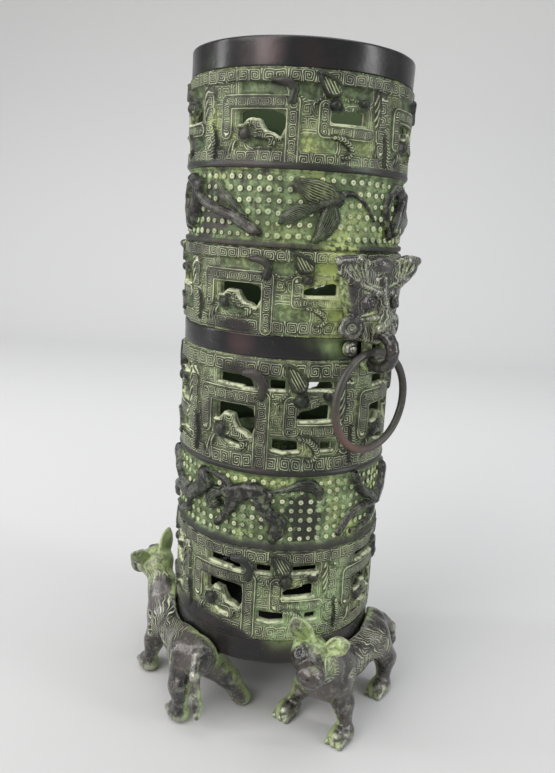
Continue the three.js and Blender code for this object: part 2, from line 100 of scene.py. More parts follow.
class Tree:  # a node tree, with a short call for each kind of node used often
    def __init__(self, group):
        self.group = group

    def plug(self, socket, value):
        if isinstance(value, Value):
            self.group.links.new(value.socket, socket)
        else:
            socket.default_value = value

    def node(self, kind, inputs=None, output=0, **settings):
        made = self.group.nodes.new(kind)
        for name, value in settings.items():
            setattr(made, name, value)
        for key, value in (inputs or {}).items():
            self.plug(made.inputs[key], value)
        return Value(self, made.outputs[output]) if len(made.outputs) else None

    def mix(self, factor, a, b):  # colours, each from a node or as three numbers
        a, b = (tone if isinstance(tone, Value) else (*tone, 1.0) for tone in (a, b))
        return self.node("ShaderNodeMix", {0: factor, 6: a, 7: b}, 2, data_type="RGBA")

    def place(self):  # metres, in the object's own frame
        return self.node("ShaderNodeTexCoord", output="Object")

    def split(self, vector):
        first = self.node("ShaderNodeSeparateXYZ", {0: vector})
        return first, first.beside(1), first.beside(2)

    def noise(self, size, detail=3.0, roughness=0.55, stretch=None):  # size of a blotch in mm
        place = self.place()
        if stretch:
            place = self.node("ShaderNodeMapping", {"Vector": place, "Scale": stretch})
        return self.node("ShaderNodeTexNoise", {
            "Vector": place, "Scale": 1000 / size, "Detail": detail, "Roughness": roughness})

    def reading(self, name):
        return self.node("ShaderNodeAttribute", output="Fac", attribute_name=name)

    def bump(self, height, distance, strength=1.0, under=None):  # distance in mm
        given = {"Strength": strength, "Distance": distance * mm, "Height": height}
        if under is not None:
            given["Normal"] = under
        return self.node("ShaderNodeBump", given)


def most(first, *others):  # the largest of the values
    for other in others:
        first = first.maths("MAXIMUM", other)
    return first


def newMaterial(name):
    material = bpy.data.materials.new(name)
    material.use_nodes = True
    material.node_tree.nodes.clear()
    return material, Tree(material.node_tree)


def finished(material, tree, looks):  # closes a material with its surface
    skin = tree.node("ShaderNodeBsdfPrincipled", looks)
    tree.node("ShaderNodeOutputMaterial", {0: skin})
    return material


tones = {
    "dark": (0.012, 0.012, 0.0115),
    "brown": (0.034, 0.026, 0.025),
    "grey": (0.062, 0.062, 0.055),
    "olive": (0.060, 0.082, 0.034),
    "deepGreen": (0.085, 0.128, 0.050),
    "paleGreen": (0.240, 0.330, 0.150),
    "yellowGreen": (0.430, 0.520, 0.180),
    "mint": (0.300, 0.440, 0.200),
    "freshGreen": (0.310, 0.420, 0.150),
    "cream": (0.660, 0.690, 0.470),
    "inside": (0.060, 0.095, 0.038),
    "collarDark": (0.008, 0.008, 0.008),
    "collarWarm": (0.024, 0.015, 0.015),
    "collarPaintedReflection": (0.060, 0.034, 0.036),
    "animalScuff": (0.170, 0.172, 0.142),
    "beastScuff": (0.210, 0.195, 0.160),
    "beastRidgeWearAndHighlight": (0.370, 0.380, 0.300),
    "wire": (0.048, 0.046, 0.038),
    "wireRed": (0.135, 0.072, 0.062),
    "wireScuff": (0.105, 0.108, 0.085),
}
# Openwork lines: sizes in mm, and the marks for plain metal and for hatching
motif = {"cell": 5.4, "halfWidth": 2.6, "pitch": 0.84, "corner": 7.0, "row": 6.1, "plain": 4.0, "hatched": 20.0}


def patinaColour(tree):  # mottled green from deep to yellow
    soft = tree.mix(tree.noise(9, 4).ramp(0.38, 0.66), tones["deepGreen"], tones["paleGreen"])
    return tree.mix(tree.noise(23, 3).ramp(0.5, 0.72), soft, tones["yellowGreen"])


def metalColour(tree):
    rubbed = tree.mix(tree.noise(28, 3).ramp(0.44, 0.68), tones["dark"], tones["brown"])
    scuffs = tree.noise(2.2, 4, 0.7).ramp(0.56, 0.78)
    return tree.mix(scuffs * 0.55, rubbed, tones["grey"])


def makeCarvedMetal():  # openwork bands: dark relief, spiral lines, green in the recesses
    cell, halfWidth, pitch, corner = (motif[key] for key in ("cell", "halfWidth", "pitch", "corner"))
    material, tree = newMaterial("carvedMetal")
    u, v, _ = tree.split(tree.node("ShaderNodeUVMap", uv_map="motif"))
    turned = u.floor() % 2.0 * -2.0 + 1.0  # every second spiral is mirrored
    along = (u.fract() - 0.5) * turned * cell + (tree.noise(5, 1) * 1.7 - 0.85)
    across = v * halfWidth + (tree.noise(6, 1) * 1.5 - 0.75)
    lower = across.below(0.0)
    wide = most(abs(along - lower * (pitch / 2)) - (cell / 2 - halfWidth), 0.0)
    reach = (wide ** corner + abs(across) ** corner) ** (1 / corner)  # squared spirals with rounded corners
    offLine = abs((reach / pitch + lower * 0.5 + 0.5).fract() - 0.5)
    line = (1 - offLine.ramp(0.05, 0.23)) * abs(v).below(1.1)
    hatch = (1 - abs(u.fract() - 0.5).ramp(0.1, 0.3)) * v.above((motif["plain"] + motif["hatched"]) / 2)
    line = most(line, hatch * 0.85)

    relief, polish, bloom = (tree.reading(name) for name in ("relief", "polish", "bloom"))
    wear = tree.noise(9, 5, 0.65).ramp(0.38, 0.62)
    dust = tree.noise(2.6, 5, 0.7).ramp(0.46, 0.64)
    recess = (1 - relief.ramp(-1.05, -0.25)) * (dust * 0.45 + 0.3)
    patina = most(recess, line * (wear * 0.6 + 0.48), dust * (wear * 0.3 + 0.12))
    worn = (-bloom).ramp(0.1, 0.6)
    grown = most(bloom, 0.0) * (dust * 0.6 + 0.4)
    patina = (patina * (1 - worn) + grown) * (1 - polish * 0.82)
    broken = tree.noise(3.2, 4, 0.65).ramp(0.38, 0.56) * 0.55 + 0.5
    lip = tree.reading("lip") * broken
    patina = most(patina, lip).ramp(0.0, 1.0)

    strongest = tree.mix(tree.split(tree.place())[2].ramp(0.05, 0.12), tones["mint"], tones["yellowGreen"])
    fresh = tree.mix(bloom.ramp(0.15, 0.75), patinaColour(tree), strongest)
    fresh = tree.mix(most(line, lip) * 0.85, fresh, tones["cream"])
    x, y, _ = tree.split(tree.place())
    depth = (x * x + y * y) ** 0.5 * 1000  # mm from the tube's axis
    ledge = depth.ramp(46.1, 46.6) * (1 - depth.ramp(47.4, 47.8))
    inner = 1 - depth.ramp(46.0, 46.4)
    fresh = tree.mix(inner, tree.mix(ledge, fresh, tones["cream"]), tones["inside"])
    patina = most(patina, ledge * broken * 0.9, inner)
    stained = (1 - worn) * (wear * 0.55 + 0.1) * (1 - polish * 0.8)
    ground = tree.mix(stained, metalColour(tree), tones["olive"])
    grain = tree.bump(tree.noise(0.9, 4, 0.6), 0.12, 0.6)
    return finished(material, tree, {
        "Base Color": tree.mix(patina, ground, fresh),
        "Roughness": patina * 0.4 + 0.4,
        "Metallic": patina * -0.2 + 0.2,
        "Normal": tree.bump(-line, 0.4, 1.0, grain)})


def makePolishedMetal():  # plain collars: near black, rubbed, with faint warm patches and a painted reddish reflection on the middle and rim collars
    material, tree = newMaterial("polishedMetal")
    bloom = tree.reading("bloom")
    warm = tree.mix(tree.noise(34, 3).ramp(0.5, 0.75), tones["collarDark"], tones["collarWarm"])
    # painted reflection: a reddish patch where the bloom reading is negative, only above 50 mm
    reddish = (-bloom).ramp(0.1, 0.6) * tree.split(tree.place())[2].ramp(0.05, 0.1)
    warm = tree.mix(reddish, warm, tones["collarPaintedReflection"])
    scratches = tree.noise(5, 4, 0.7, (1, 1, 6)).ramp(0.55, 0.8)
    colour = tree.mix(scratches * 0.22, warm, tones["grey"])
    specks = (tree.noise(4, 5, 0.65).ramp(0.64, 0.76) * 0.35 + bloom * 0.8).ramp(0.0, 1.0)
    return finished(material, tree, {
        "Base Color": tree.mix(specks, colour, patinaColour(tree)),
        "Roughness": tree.noise(8, 4) * 0.26 + 0.13,
        "Metallic": 0.1,
        "Specular IOR Level": 0.45,
        "Normal": tree.bump(tree.noise(3.5, 3), 0.10, 0.5)})


def makeDotGround():  # dotted grounds: mottled green, black where the patina is rubbed away
    material, tree = newMaterial("dotGround")
    relief, polish, bloom = (tree.reading(name) for name in ("relief", "polish", "bloom"))
    ground = tree.mix(tree.noise(3.6, 5, 0.72).ramp(0.42, 0.58), tones["olive"], patinaColour(tree))
    bare = most((tree.noise(7, 4, 0.6) + bloom * -0.55).ramp(0.56, 0.64), polish)
    ground = tree.mix(bare * 0.92, ground, metalColour(tree))
    grown = bloom.ramp(0.1, 0.7) * tree.noise(2.2, 5, 0.7).ramp(0.4, 0.58)
    fresh = tree.mix(grown, ground, tones["yellowGreen"])
    top = relief.ramp(0.15, 0.95) * (1 - polish) * (tree.noise(11, 3).ramp(0.4, 0.6) * 0.5 + 0.35)
    return finished(material, tree, {
        "Base Color": tree.mix(top, fresh, tones["cream"]),
        "Roughness": 0.62,
        "Normal": tree.bump(tree.noise(1.3, 4, 0.6), 0.25, 0.9)})


def makeReliefMetal(name, lineCount, lineTone):  # relief animals: charcoal, cut lines along each limb
    material, tree = newMaterial(name)
    strength, side, _ = tree.split(tree.node("ShaderNodeUVMap", uv_map="motif"))
    offLine = abs((side * lineCount + tree.noise(6, 2) * 0.8).fract() - 0.5)
    line = (1 - offLine.ramp(0.06, 0.24)) * strength
    patches = tree.noise(3, 5, 0.65).ramp(0.52, 0.68) * 0.5
    patina = most(line * lineTone, tree.reading("hollow").ramp(0.1, 0.8), patches)
    scuffs = tree.noise(4, 5, 0.7).ramp(0.46, 0.64) * 0.5
    body = tree.mix(scuffs, metalColour(tree), tones["animalScuff"])
    grain = tree.bump(tree.noise(1.1, 4, 0.6), 0.15, 0.7)
    return finished(material, tree, {
        "Base Color": tree.mix(patina, body, patinaColour(tree)),
        "Roughness": patina * 0.4 + 0.26,
        "Metallic": 0.25,
        "Normal": tree.bump(-line, 0.35, 1.0, grain)})


def makeBeastMetal(name, look):  # cast beasts and masks: hair-like strands, green in the hollows, pale ridges that are partly wear and partly painted highlight
    material, tree = newMaterial(name)
    bloom, hollow = tree.reading("bloom"), tree.reading("hollow")
    strands = tree.reading("strand") + tree.noise(look["curlSize"], 1) * look["curl"]
    offLine = abs(strands.fract() - 0.5)
    cut = tree.reading("cut") * tree.noise(9, 4).ramp(look["bare"], look["bare"] + 0.14)
    line = (1 - offLine.ramp(0.04, 0.22)) * cut
    patches = tree.noise(7, 5, 0.65).ramp(0.55, 0.7) * look["patches"]
    patina = most(line * look["lines"], hollow.ramp(0.12, 0.8), patches)
    dust = tree.noise(2.4, 5, 0.7).ramp(0.44, 0.62) * 0.6 + 0.4
    patina = (patina + bloom * dust).ramp(0.0, 1.0)
    body = tree.mix(tree.noise(14, 4).ramp(0.4, 0.62), metalColour(tree), look["body"])
    scuffs = tree.noise(2.2, 5, 0.7).ramp(0.5, 0.68) * look["dust"]
    body = tree.mix(scuffs, body, tones["beastScuff"])
    # pale ridges: partly rubbed wear, partly painted highlights and glints
    edge = hollow.ramp(-0.2, -0.8) * tree.noise(3, 4, 0.6).ramp(0.38, 0.56)
    body = tree.mix(edge * look["edges"], body, tones["beastRidgeWearAndHighlight"])
    pale = tree.mix(bloom.ramp(0.2, 0.9), patinaColour(tree), tones["freshGreen"])
    pale = tree.mix(line * 0.65 + look["cream"], pale, tones["cream"])
    grain = tree.bump(tree.noise(1.8, 5, 0.65), 0.3, 0.9, tree.bump(tree.noise(4.5, 2), 0.5, 0.6))
    return finished(material, tree, {
        "Base Color": tree.mix(patina, body, pale),
        "Roughness": patina * 0.5 + 0.15,
        "Metallic": 0.3,
        "Specular IOR Level": 0.7,
        "Coat Weight": 0.3,
        "Coat Roughness": 0.16,
        "Normal": tree.bump(-line, 0.45, 1.0, grain)})


def makeRingMetal():  # ring wire: smooth grey brown, reddish on one side
    material, tree = newMaterial("ringMetal")
    colour = tree.mix(tree.reading("bloom"), tones["wire"], tones["wireRed"])
    return finished(material, tree, {
        "Base Color": tree.mix(tree.noise(3, 5).ramp(0.5, 0.7) * 0.45, colour, tones["wireScuff"]),
        "Roughness": tree.noise(4, 4) * 0.3 + 0.25,
        "Metallic": 0.2,
        "Normal": tree.bump(tree.noise(2.2, 4), 0.15, 0.8)})


# edges sets how pale the ridges get: partly wear, partly painted highlight
beastLook = {"patches": 0.35, "edges": 0.85, "dust": 0.65, "curlSize": 7, "curl": 4.6, "lines": 0.8,
             "body": (0.072, 0.062, 0.054), "cream": 0.2, "bare": 0.38}
maskLook = {"patches": 0.3, "edges": 1.0, "dust": 0.25, "curlSize": 6, "curl": 5.0, "lines": 0.6,
            "body": (0.034, 0.032, 0.028), "cream": 0.22, "bare": 0.36}
carvedMetal = makeCarvedMetal()
polishedMetal = makePolishedMetal()
dotGround = makeDotGround()
birdMetal = makeReliefMetal("birdMetal", 5.0, 0.8)
animalMetal = makeReliefMetal("animalMetal", 3.0, 0.4)
beastMetal = makeBeastMetal("beastMetal", beastLook)
maskMetal = makeBeastMetal("maskMetal", maskLook)
ringMetal = makeRingMetal()
print("materials made")


def smooth(value, low, high):
    t = np.clip((value - low) / (high - low), 0, 1)
    return t * t * (3 - 2 * t)


# Soft unevenness of hand-finished metal: size of a wave and its height in mm
handWork = {
    "band": {"size": 11, "height": 0.09, "seed": 5},
    "shell": {"size": 17, "height": 0.09, "seed": 3},
    "animal": {"size": 6, "height": 0.15, "seed": 8},
}


def unevenness(x, y, z, work, waves=9):
    rng = np.random.default_rng(work["seed"])
    total = 0.0
    for _ in range(waves):
        way = rng.normal(size=3)
        way *= 2 * np.pi / work["size"] / np.linalg.norm(way)
        total = total + np.sin(x * way[0] + y * way[1] + z * way[2] + rng.uniform(0, 2 * np.pi))
    return total / math.sqrt(waves) * work["height"]


# Patches where the patina is fresh (+) or rubbed away (-): degrees right of the
# photo's middle line, height above the base in mm, spreads, and amount
# On the middle and rim collars a negative patch also paints a reddish reflection.
patinaPatches = [
    (23, 176, 8, 18, 1.35), (25, 150, 7, 6, 0.7), (18, 151, 8, 4, 0.25), (18, 23, 20, 13, 0.95),
    (4, 14, 10, 5, 0.5), (2, 236, 34, 14, 0.28), (-5, 197, 26, 6, 0.3), (34, 205, 10, 12, 0.4),
    (30, 74, 9, 13, 0.45), (-46, 238, 5, 7, 0.7), (28, 182, 12, 8, 0.6), (35, 38, 9, 10, 0.6),
    (6, 172, 14, 15, 0.45), (4, 89, 30, 3, 0.5), (28, 232, 8, 8, 0.3), (-18, 88, 16, 3, 0.3),
    (-27, 157, 12, 3, -0.6), (-26, 138, 10, 4, -0.5), (-28, 224, 14, 5, -0.35), (17, 73, 9, 9, -0.7),
    (-42, 14, 22, 7, -0.9), (-18, 12, 10, 4, -0.8), (-50, 262, 8, 3, 0.2), (-15, 264, 8, 8, -0.5),
    (-24, 149, 10, 6, -0.45), (-48, 200, 12, 12, -0.5), (-45, 75, 16, 14, 0.2),
]


def bloomAt(angle, z):
    alpha = (angle - cameraSide + 180) % 360 - 180
    total = 0.0 * alpha
    for centre, height, wide, tall, amount in patinaPatches:
        for turn in (0, 180):  # the far side wears the same way
            away = (alpha - centre - turn + 180) % 360 - 180
            total = total + amount * np.exp(-(away / wide) ** 2 - ((z - height) / tall) ** 2)
    return total


def pathField(x, y, points):  # distance to a tapering path, distance along it, share of its half-width
    best = np.full(np.shape(x + y), 1e6)
    along = np.zeros_like(best)
    side = np.full_like(best, 9.0)
    run = 0.0
    for (x0, y0, r0), (x1, y1, r1) in zip(points, points[1:]):
        dx, dy = x1 - x0, y1 - y0
        length = math.hypot(dx, dy)
        t = np.clip(((x - x0) * dx + (y - y0) * dy) / length ** 2, 0, 1)
        away = np.hypot(x - x0 - t * dx, y - y0 - t * dy)
        width = r0 + (r1 - r0) * t
        nearer = away - width < best
        sign = np.sign(dx * (y - y0) - dy * (x - x0))
        best = np.where(nearer, away - width, best)
        along = np.where(nearer, run + t * length, along)
        side = np.where(nearer, sign * away / width, side)
        run += length
    return best, along, side


def outlineField(x, y, outline):  # signed distance to a closed outline, negative inside
    best = np.full(np.shape(x + y), 1e12)
    flips = np.ones_like(best)
    for (x0, y0), (x1, y1) in zip(outline, outline[1:] + outline[:1]):
        ex, ey = x1 - x0, y1 - y0
        wx, wy = x - x0, y - y0
        t = np.clip((wx * ex + wy * ey) / (ex * ex + ey * ey), 0, 1)
        best = np.minimum(best, (wx - t * ex) ** 2 + (wy - t * ey) ** 2)
        a, b, c = y >= y0, y < y1, ex * wy > ey * wx
        flips = np.where((a & b & c) | (~a & ~b & ~c), -flips, flips)
    return flips * np.sqrt(best)


def dome(distance, width):  # 0 at the edge, 1 from width inside it
    return np.sqrt(np.clip(1 - np.clip(1 + distance / width, 0, 1) ** 2, 0, 1))


def cutGrid(keep):  # faces of a grid where keep is above 0, cut exactly along its edge
    nx, ny = keep.shape
    ids = np.arange(nx * ny).reshape(nx, ny)
    loops = np.stack([ids[:-1, :-1], ids[:-1, 1:], ids[1:, 1:], ids[1:, :-1]], -1).reshape(-1, 4)
    flat = keep.ravel()
    total = (flat[loops] > 0).sum(1)
    faces = loops[total == 4].tolist()
    known, between, rim = {}, [], []
    for loop in loops[(total > 0) & (total < 4)].tolist():
        face, events = [], []
        for a, b in zip(loop, loop[1:] + loop[:1]):
            if flat[a] > 0:
                face.append(a)
            if (flat[a] > 0) != (flat[b] > 0):
                key = (min(a, b), max(a, b))
                if key not in known:
                    known[key] = nx * ny + len(between)
                    between.append((*key, flat[key[0]] / (flat[key[0]] - flat[key[1]])))
                face.append(known[key])
                events.append((flat[a] > 0, known[key]))
        faces.append(face)
        for k, (leaving, point) in enumerate(events):
            if leaving:
                rim.append((point, events[(k + 1) % len(events)][1]))
    return faces, between, rim


def withBetween(values, between):  # adds the values at the cut points
    flat = np.asarray(values).ravel()
    a, b, t = (np.array(column) for column in zip(*between))
    return np.concatenate([flat, flat[a] * (1 - t) + flat[b] * t])


def tightened(faces):  # the places in use, and the faces numbered by them
    used = sorted({v for face in faces for v in face})
    order = {v: k for k, v in enumerate(used)}
    return np.array(used), [[order[v] for v in face] for face in faces]


def bentPlaces(angle, radius, z):
    turn = np.radians(angle)
    return np.stack([radius * np.cos(turn), radius * np.sin(turn), z], -1)


def turnedBy(places, degrees):
    c, s = math.cos(math.radians(degrees)), math.sin(math.radians(degrees))
    return places @ np.array([[c, s, 0], [-s, c, 0], [0, 0, 1]])


def newMesh(name, places, faces):  # places in metres
    mesh = bpy.data.meshes.new(name)
    mesh.from_pydata(np.asarray(places).tolist(), [], faces)
    mesh.polygons.foreach_set("use_smooth", [True] * len(mesh.polygons))
    return mesh


def newObject(name, data):
    made = bpy.data.objects.new(name, data)
    bpy.context.scene.collection.objects.link(made)
    return made


def setReadings(mesh, readings):
    for key, values in readings.items():
        layer = mesh.attributes.new(key, "FLOAT", "POINT")
        layer.data.foreach_set("value", np.asarray(values, np.float32))


def makePiece(name, node, places, faces, material, readings, uv=None, merge=0.0):  # places and merge in mm
    mesh = newMesh(name, np.asarray(places) * mm, faces)
    setReadings(mesh, readings)
    if uv is not None:
        corners = np.zeros(len(mesh.loops), np.int64)
        mesh.loops.foreach_get("vertex_index", corners)
        layer = mesh.uv_layers.new(name="motif")
        layer.data.foreach_set("uv", np.asarray(uv, np.float32)[corners].ravel())
    if merge:
        work = bmesh.new()
        work.from_mesh(mesh)
        bmesh.ops.remove_doubles(work, verts=work.verts, dist=merge * mm)
        bmesh.ops.dissolve_degenerate(work, edges=work.edges, dist=1e-6)
        work.to_mesh(mesh)
        work.free()
    mesh.materials.append(material)
    mesh.update()
    piece = newObject(name, mesh)
    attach(piece, "vessel")
    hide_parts(node)
    return piece


tube = {"radius": 50.0, "bore": 46.0, "recess": 1.3, "columns": 176, "row": 0.45}
degree = math.pi * tube["radius"] / 180  # mm of wall in one degree
unit = {"start": -47, "span": 90}
unitWidth = unit["span"] * degree
closed = (0, 1, 2, 4, 6, 7)  # the windows that the narrow bands show as blind slots

openworkBands = [
    {"name": "dragon_band_4", "foot": 12.0, "height": 45.5, "divider": -47.4, "ridge": 0.0, "blind": ()},
    {"name": "dragon_band_3", "foot": 92.5, "height": 51.65, "divider": -45.4, "ridge": 0.045, "blind": ()},
    {"name": "dragon_band_2", "foot": 153.8, "height": 36.2, "divider": -45.9, "ridge": 0.0, "blind": closed},
    {"name": "dragon_band_1", "foot": 220.8, "height": 37.95, "divider": -38.4, "ridge": 0.06, "blind": closed},
]

# All places are [degrees from the divider, share of the height from the top]
windowOutlines = [
    [(-32.5, 0.17), (-17, 0.17), (-14, 0.2), (-13, 0.255), (-17.5, 0.26), (-18, 0.245), (-32.5, 0.24)],
    [(-4, 0.185), (3, 0.185), (3, 0.25), (-4, 0.25)],
    [(15.5, 0.19), (29, 0.19), (29, 0.24), (15.5, 0.24)],
    [(-33.5, 0.45), (-31.5, 0.43), (-17, 0.43), (-12.5, 0.455), (-11, 0.51), (-11.3, 0.6), (-13, 0.67),
     (-15, 0.64), (-19, 0.615), (-21, 0.56), (-22.5, 0.5), (-28.5, 0.49), (-30.5, 0.555), (-33.3, 0.56)],
    [(-27, 0.71), (-19, 0.735), (-19, 0.765), (-24, 0.755), (-27, 0.735)],
    [(10.5, 0.47), (13, 0.44), (17, 0.43), (19.5, 0.4), (25, 0.385), (27.5, 0.4), (27.5, 0.505), (12, 0.51),
     (10.5, 0.5)],
    [(-1.5, 0.69), (11, 0.7), (11.5, 0.77), (4, 0.785), (-1.5, 0.765)],
    [(24, 0.71), (30, 0.71), (30, 0.765), (24, 0.765)],
]
stripPaths = [  # flat strips filled with squared spirals; the third number is the half-width in mm
    [(-60, 0.088, 3.2), (60, 0.088, 3.2)],
    [(-60, 0.895, 3.4), (60, 0.895, 3.4)],
    [(-40.5, 0.65, 3.6), (-40.5, 0.345, 3.8), (-7.4, 0.345, 3.7), (-7.4, 0.93, 3.6)],
    [(7, 0.37, 3.5), (7, 0.605, 3.5), (30, 0.605, 3.4)],
    [(37.3, 0.24, 3.7), (37.8, 0.76, 3.7)],
]
hookPaths = [  # raised commas
    [(-17, 0.15, 1.5), (-13, 0.14, 1.9), (-9.5, 0.165, 2.0), (-7, 0.22, 2.0), (-8.3, 0.33, 1.7)],
    [(12, 0.665, 1.2), (16, 0.675, 1.7), (20, 0.73, 1.9), (21.5, 0.8, 1.6), (19.5, 0.85, 1.3), (17, 0.86, 1.0)],
    [(41, 0.6, 1.4), (42.5, 0.74, 1.9), (42, 0.88, 1.6)],
]
headPaths = [  # the dragon's crest, jaw and teeth, level with the strips
    [(-33, 0.59, 1.6), (-30, 0.56, 2.0), (-25.5, 0.53, 2.2), (-23, 0.59, 2.4), (-20, 0.65, 2.2),
     (-16, 0.68, 2.0), (-12.7, 0.71, 1.4)],
    [(-28, 0.69, 1.7), (-23, 0.69, 1.7), (-18.5, 0.71, 1.7), (-16, 0.75, 1.7), (-18, 0.8, 1.4), (-25, 0.8, 1.2)],
    [(14.5, 0.285, 0.7), (24, 0.285, 0.7)],
    [(15.5, 0.37, 0.9), (17.5, 0.4, 0.9), (20.3, 0.385, 0.9), (20.6, 0.35, 0.7)],
    [(-4, 0.29, 0.9), (-0.6, 0.36, 1.1), (0.6, 0.42, 0.9)],
    [(5, 0.29, 0.9), (1.8, 0.35, 1.1)],
]
castHeight = {"head": 1.7, "leaf": 0.9, "ear": 1.7, "hook": 1.15, "eye": 1.5, "eyeGroove": 1.2, "blind": 0.7,
              "windowEdge": 0.35, "lip": 0.3, "ridge": 0.35}  # mm
eyeBalls = [(-30, 0.66, 2.9), (12, 0.345, 2.5), (26.5, 0.3, 2.1)]
earOutline = [(3, 0.03), (7, 0.05), (11, 0.09), (14, 0.145), (15.2, 0.2), (14, 0.26), (10.5, 0.28),
              (7, 0.265), (5, 0.18), (3.6, 0.1)]
leafOutlines = [
    [(-33.5, 0.71), (-34, 0.78), (-37.5, 0.86), (-41, 0.9), (-41, 0.82), (-38, 0.74)],
    [(33, 0.13), (35.5, 0.2), (36.5, 0.4), (35, 0.56), (33, 0.5), (32, 0.3)],
]


def unitPattern(height, blind):  # every reading of one pattern unit on its grid
    rows = round(height / tube["row"])
    angle = unit["start"] + unit["span"] * np.arange(tube["columns"] + 1) / tube["columns"]
    angle, down = np.meshgrid(angle, height * np.arange(rows + 1) / rows, indexing="ij")
    x = angle * degree
    scale = min(1.0, (height / max(band["height"] for band in openworkBands)) ** 0.7)
    recess, plain, hatched = tube["recess"], motif["plain"], motif["hatched"]

    def laid(points):
        return [(p[0] * degree, p[1] * height, *[r * scale for r in p[2:]]) for p in points]

    def around(field, points):  # the pattern runs on past the unit's edges
        readings = [field(x + shift, down, laid(points)) for shift in (-unitWidth, 0, unitWidth)]
        if not isinstance(readings[0], tuple):
            return np.minimum.reduce(readings)
        nearest = np.argmin([r[0] for r in readings], 0)
        return tuple(np.choose(nearest, column) for column in zip(*readings))

    relief = np.full_like(x, -recess)
    polish = np.zeros_like(x)
    rowShift = np.floor(down / motif["row"])
    s, t = x / motif["cell"] + 0.37 * rowShift, 2 * (down / motif["row"] - rowShift) - 1
    for points in stripPaths:
        gap, along, side = around(pathField, points)
        relief = np.maximum(relief, -recess * smooth(gap, -0.45, 0.25))
        inside = gap < 0.1
        s = np.where(inside, along / motif["cell"], s)
        t = np.where(inside, side, t)
        if len(points) > 2:  # the loops have lines along both edges
            middle = 0.56
            edged = inside & (np.abs(side) > middle)
            s = np.where(edged, gap, s)
            t = np.where(edged, hatched, np.where(inside, side / middle, t))
    for points in headPaths:
        gap, _, _ = around(pathField, points)
        relief = np.maximum(relief, -recess + castHeight["head"] * dome(gap, 1.5))
    for outline in leafOutlines:
        gap = around(outlineField, outline)
        relief = np.where(gap < 0, -0.7 + castHeight["leaf"] * smooth(-gap, 0, 1.2), relief)
        s = np.where(gap < 0, x / 1.5 + down / 4, s)
        t = np.where(gap < 0, hatched, t)
    gap = around(outlineField, earOutline)
    rimBand = np.exp(-((gap + 0.7) / 0.5) ** 2)
    relief = np.where(gap < 0.3, -0.5 + castHeight["ear"] * rimBand, relief)
    polish = np.maximum(polish, np.where(gap < 0.3, 0.8 * rimBand, 0))
    s = np.where(gap < -1.2, (x - 0.6 * down) / 1.35, s)
    t = np.where(gap < 0.3, np.where(gap < -1.2, hatched, plain), t)
    for points in hookPaths:
        gap, along, side = around(pathField, points)
        relief = np.where(gap < 0, 0.1 + castHeight["hook"] * dome(gap, 1.6), relief)
        relief = np.where((gap >= 0) & (gap < 0.6), np.minimum(relief, -0.6), relief)
        ribbed = (np.abs(side) < 0.66) & (points is not hookPaths[0])
        polish = np.where(gap < 0, np.where(ribbed, 0.3, 0.85), polish)
        s = np.where(gap < 0, along / 1.3 + np.abs(side), s)
        t = np.where(gap < 0, np.where(ribbed, hatched, plain), t)
    for u, v, size in eyeBalls:
        away = np.hypot(x - u * degree, down - v * height) - size * scale
        relief = np.where(away < 1.1, np.maximum(relief, -0.1), relief)
        relief = np.where(away < 1.1, relief - castHeight["eyeGroove"] * np.exp(-(away / 0.4) ** 2), relief)
        relief = np.where(away < 0, -0.2 + castHeight["eye"] * dome(away, size * scale), relief)
        polish = np.where(away < 0, 0.9, polish)
        t = np.where(away < 1.1, plain, t)
    gaps = [outlineField(x, down, laid(points)) - 0.35 for points in windowOutlines]
    window = np.minimum.reduce([gap for k, gap in enumerate(gaps) if k not in blind])
    relief -= castHeight["windowEdge"] * np.exp(-np.clip(window, 0, None) ** 2 / 0.3)
    for k in blind:  # slots that the casting left closed
        sunk = np.minimum(relief, -recess - castHeight["blind"] * smooth(-gaps[k], -0.5, 0.4))
        relief = np.where(gaps[k] < 0.6, sunk, relief)
    nearest = np.minimum.reduce(gaps)
    ground = (relief < -0.75) & (nearest < 3.6) & (t < plain)  # lines that follow the windows' edges
    s = np.where(ground, nearest / 1.05 + 0.5, s)
    t = np.where(ground, np.where(nearest > 1.3, hatched, plain), t)
    below = np.clip(np.gradient(np.clip(window, -1, 3), axis=1) / 0.3, 0, 1)
    lip = below * (1 - smooth(window, 0.7, 1.5)) * 0.95
    relief += castHeight["lip"] * lip
    relief = np.where(down < 1.1, np.minimum(relief, -0.5), relief)  # the groove below the upper edge
    relief = relief + unevenness(x, down, 0 * x, handWork["band"])
    return {"angle": angle, "down": down, "relief": relief, "polish": polish, "lip": lip, "s": s, "t": t,
            "window": window}


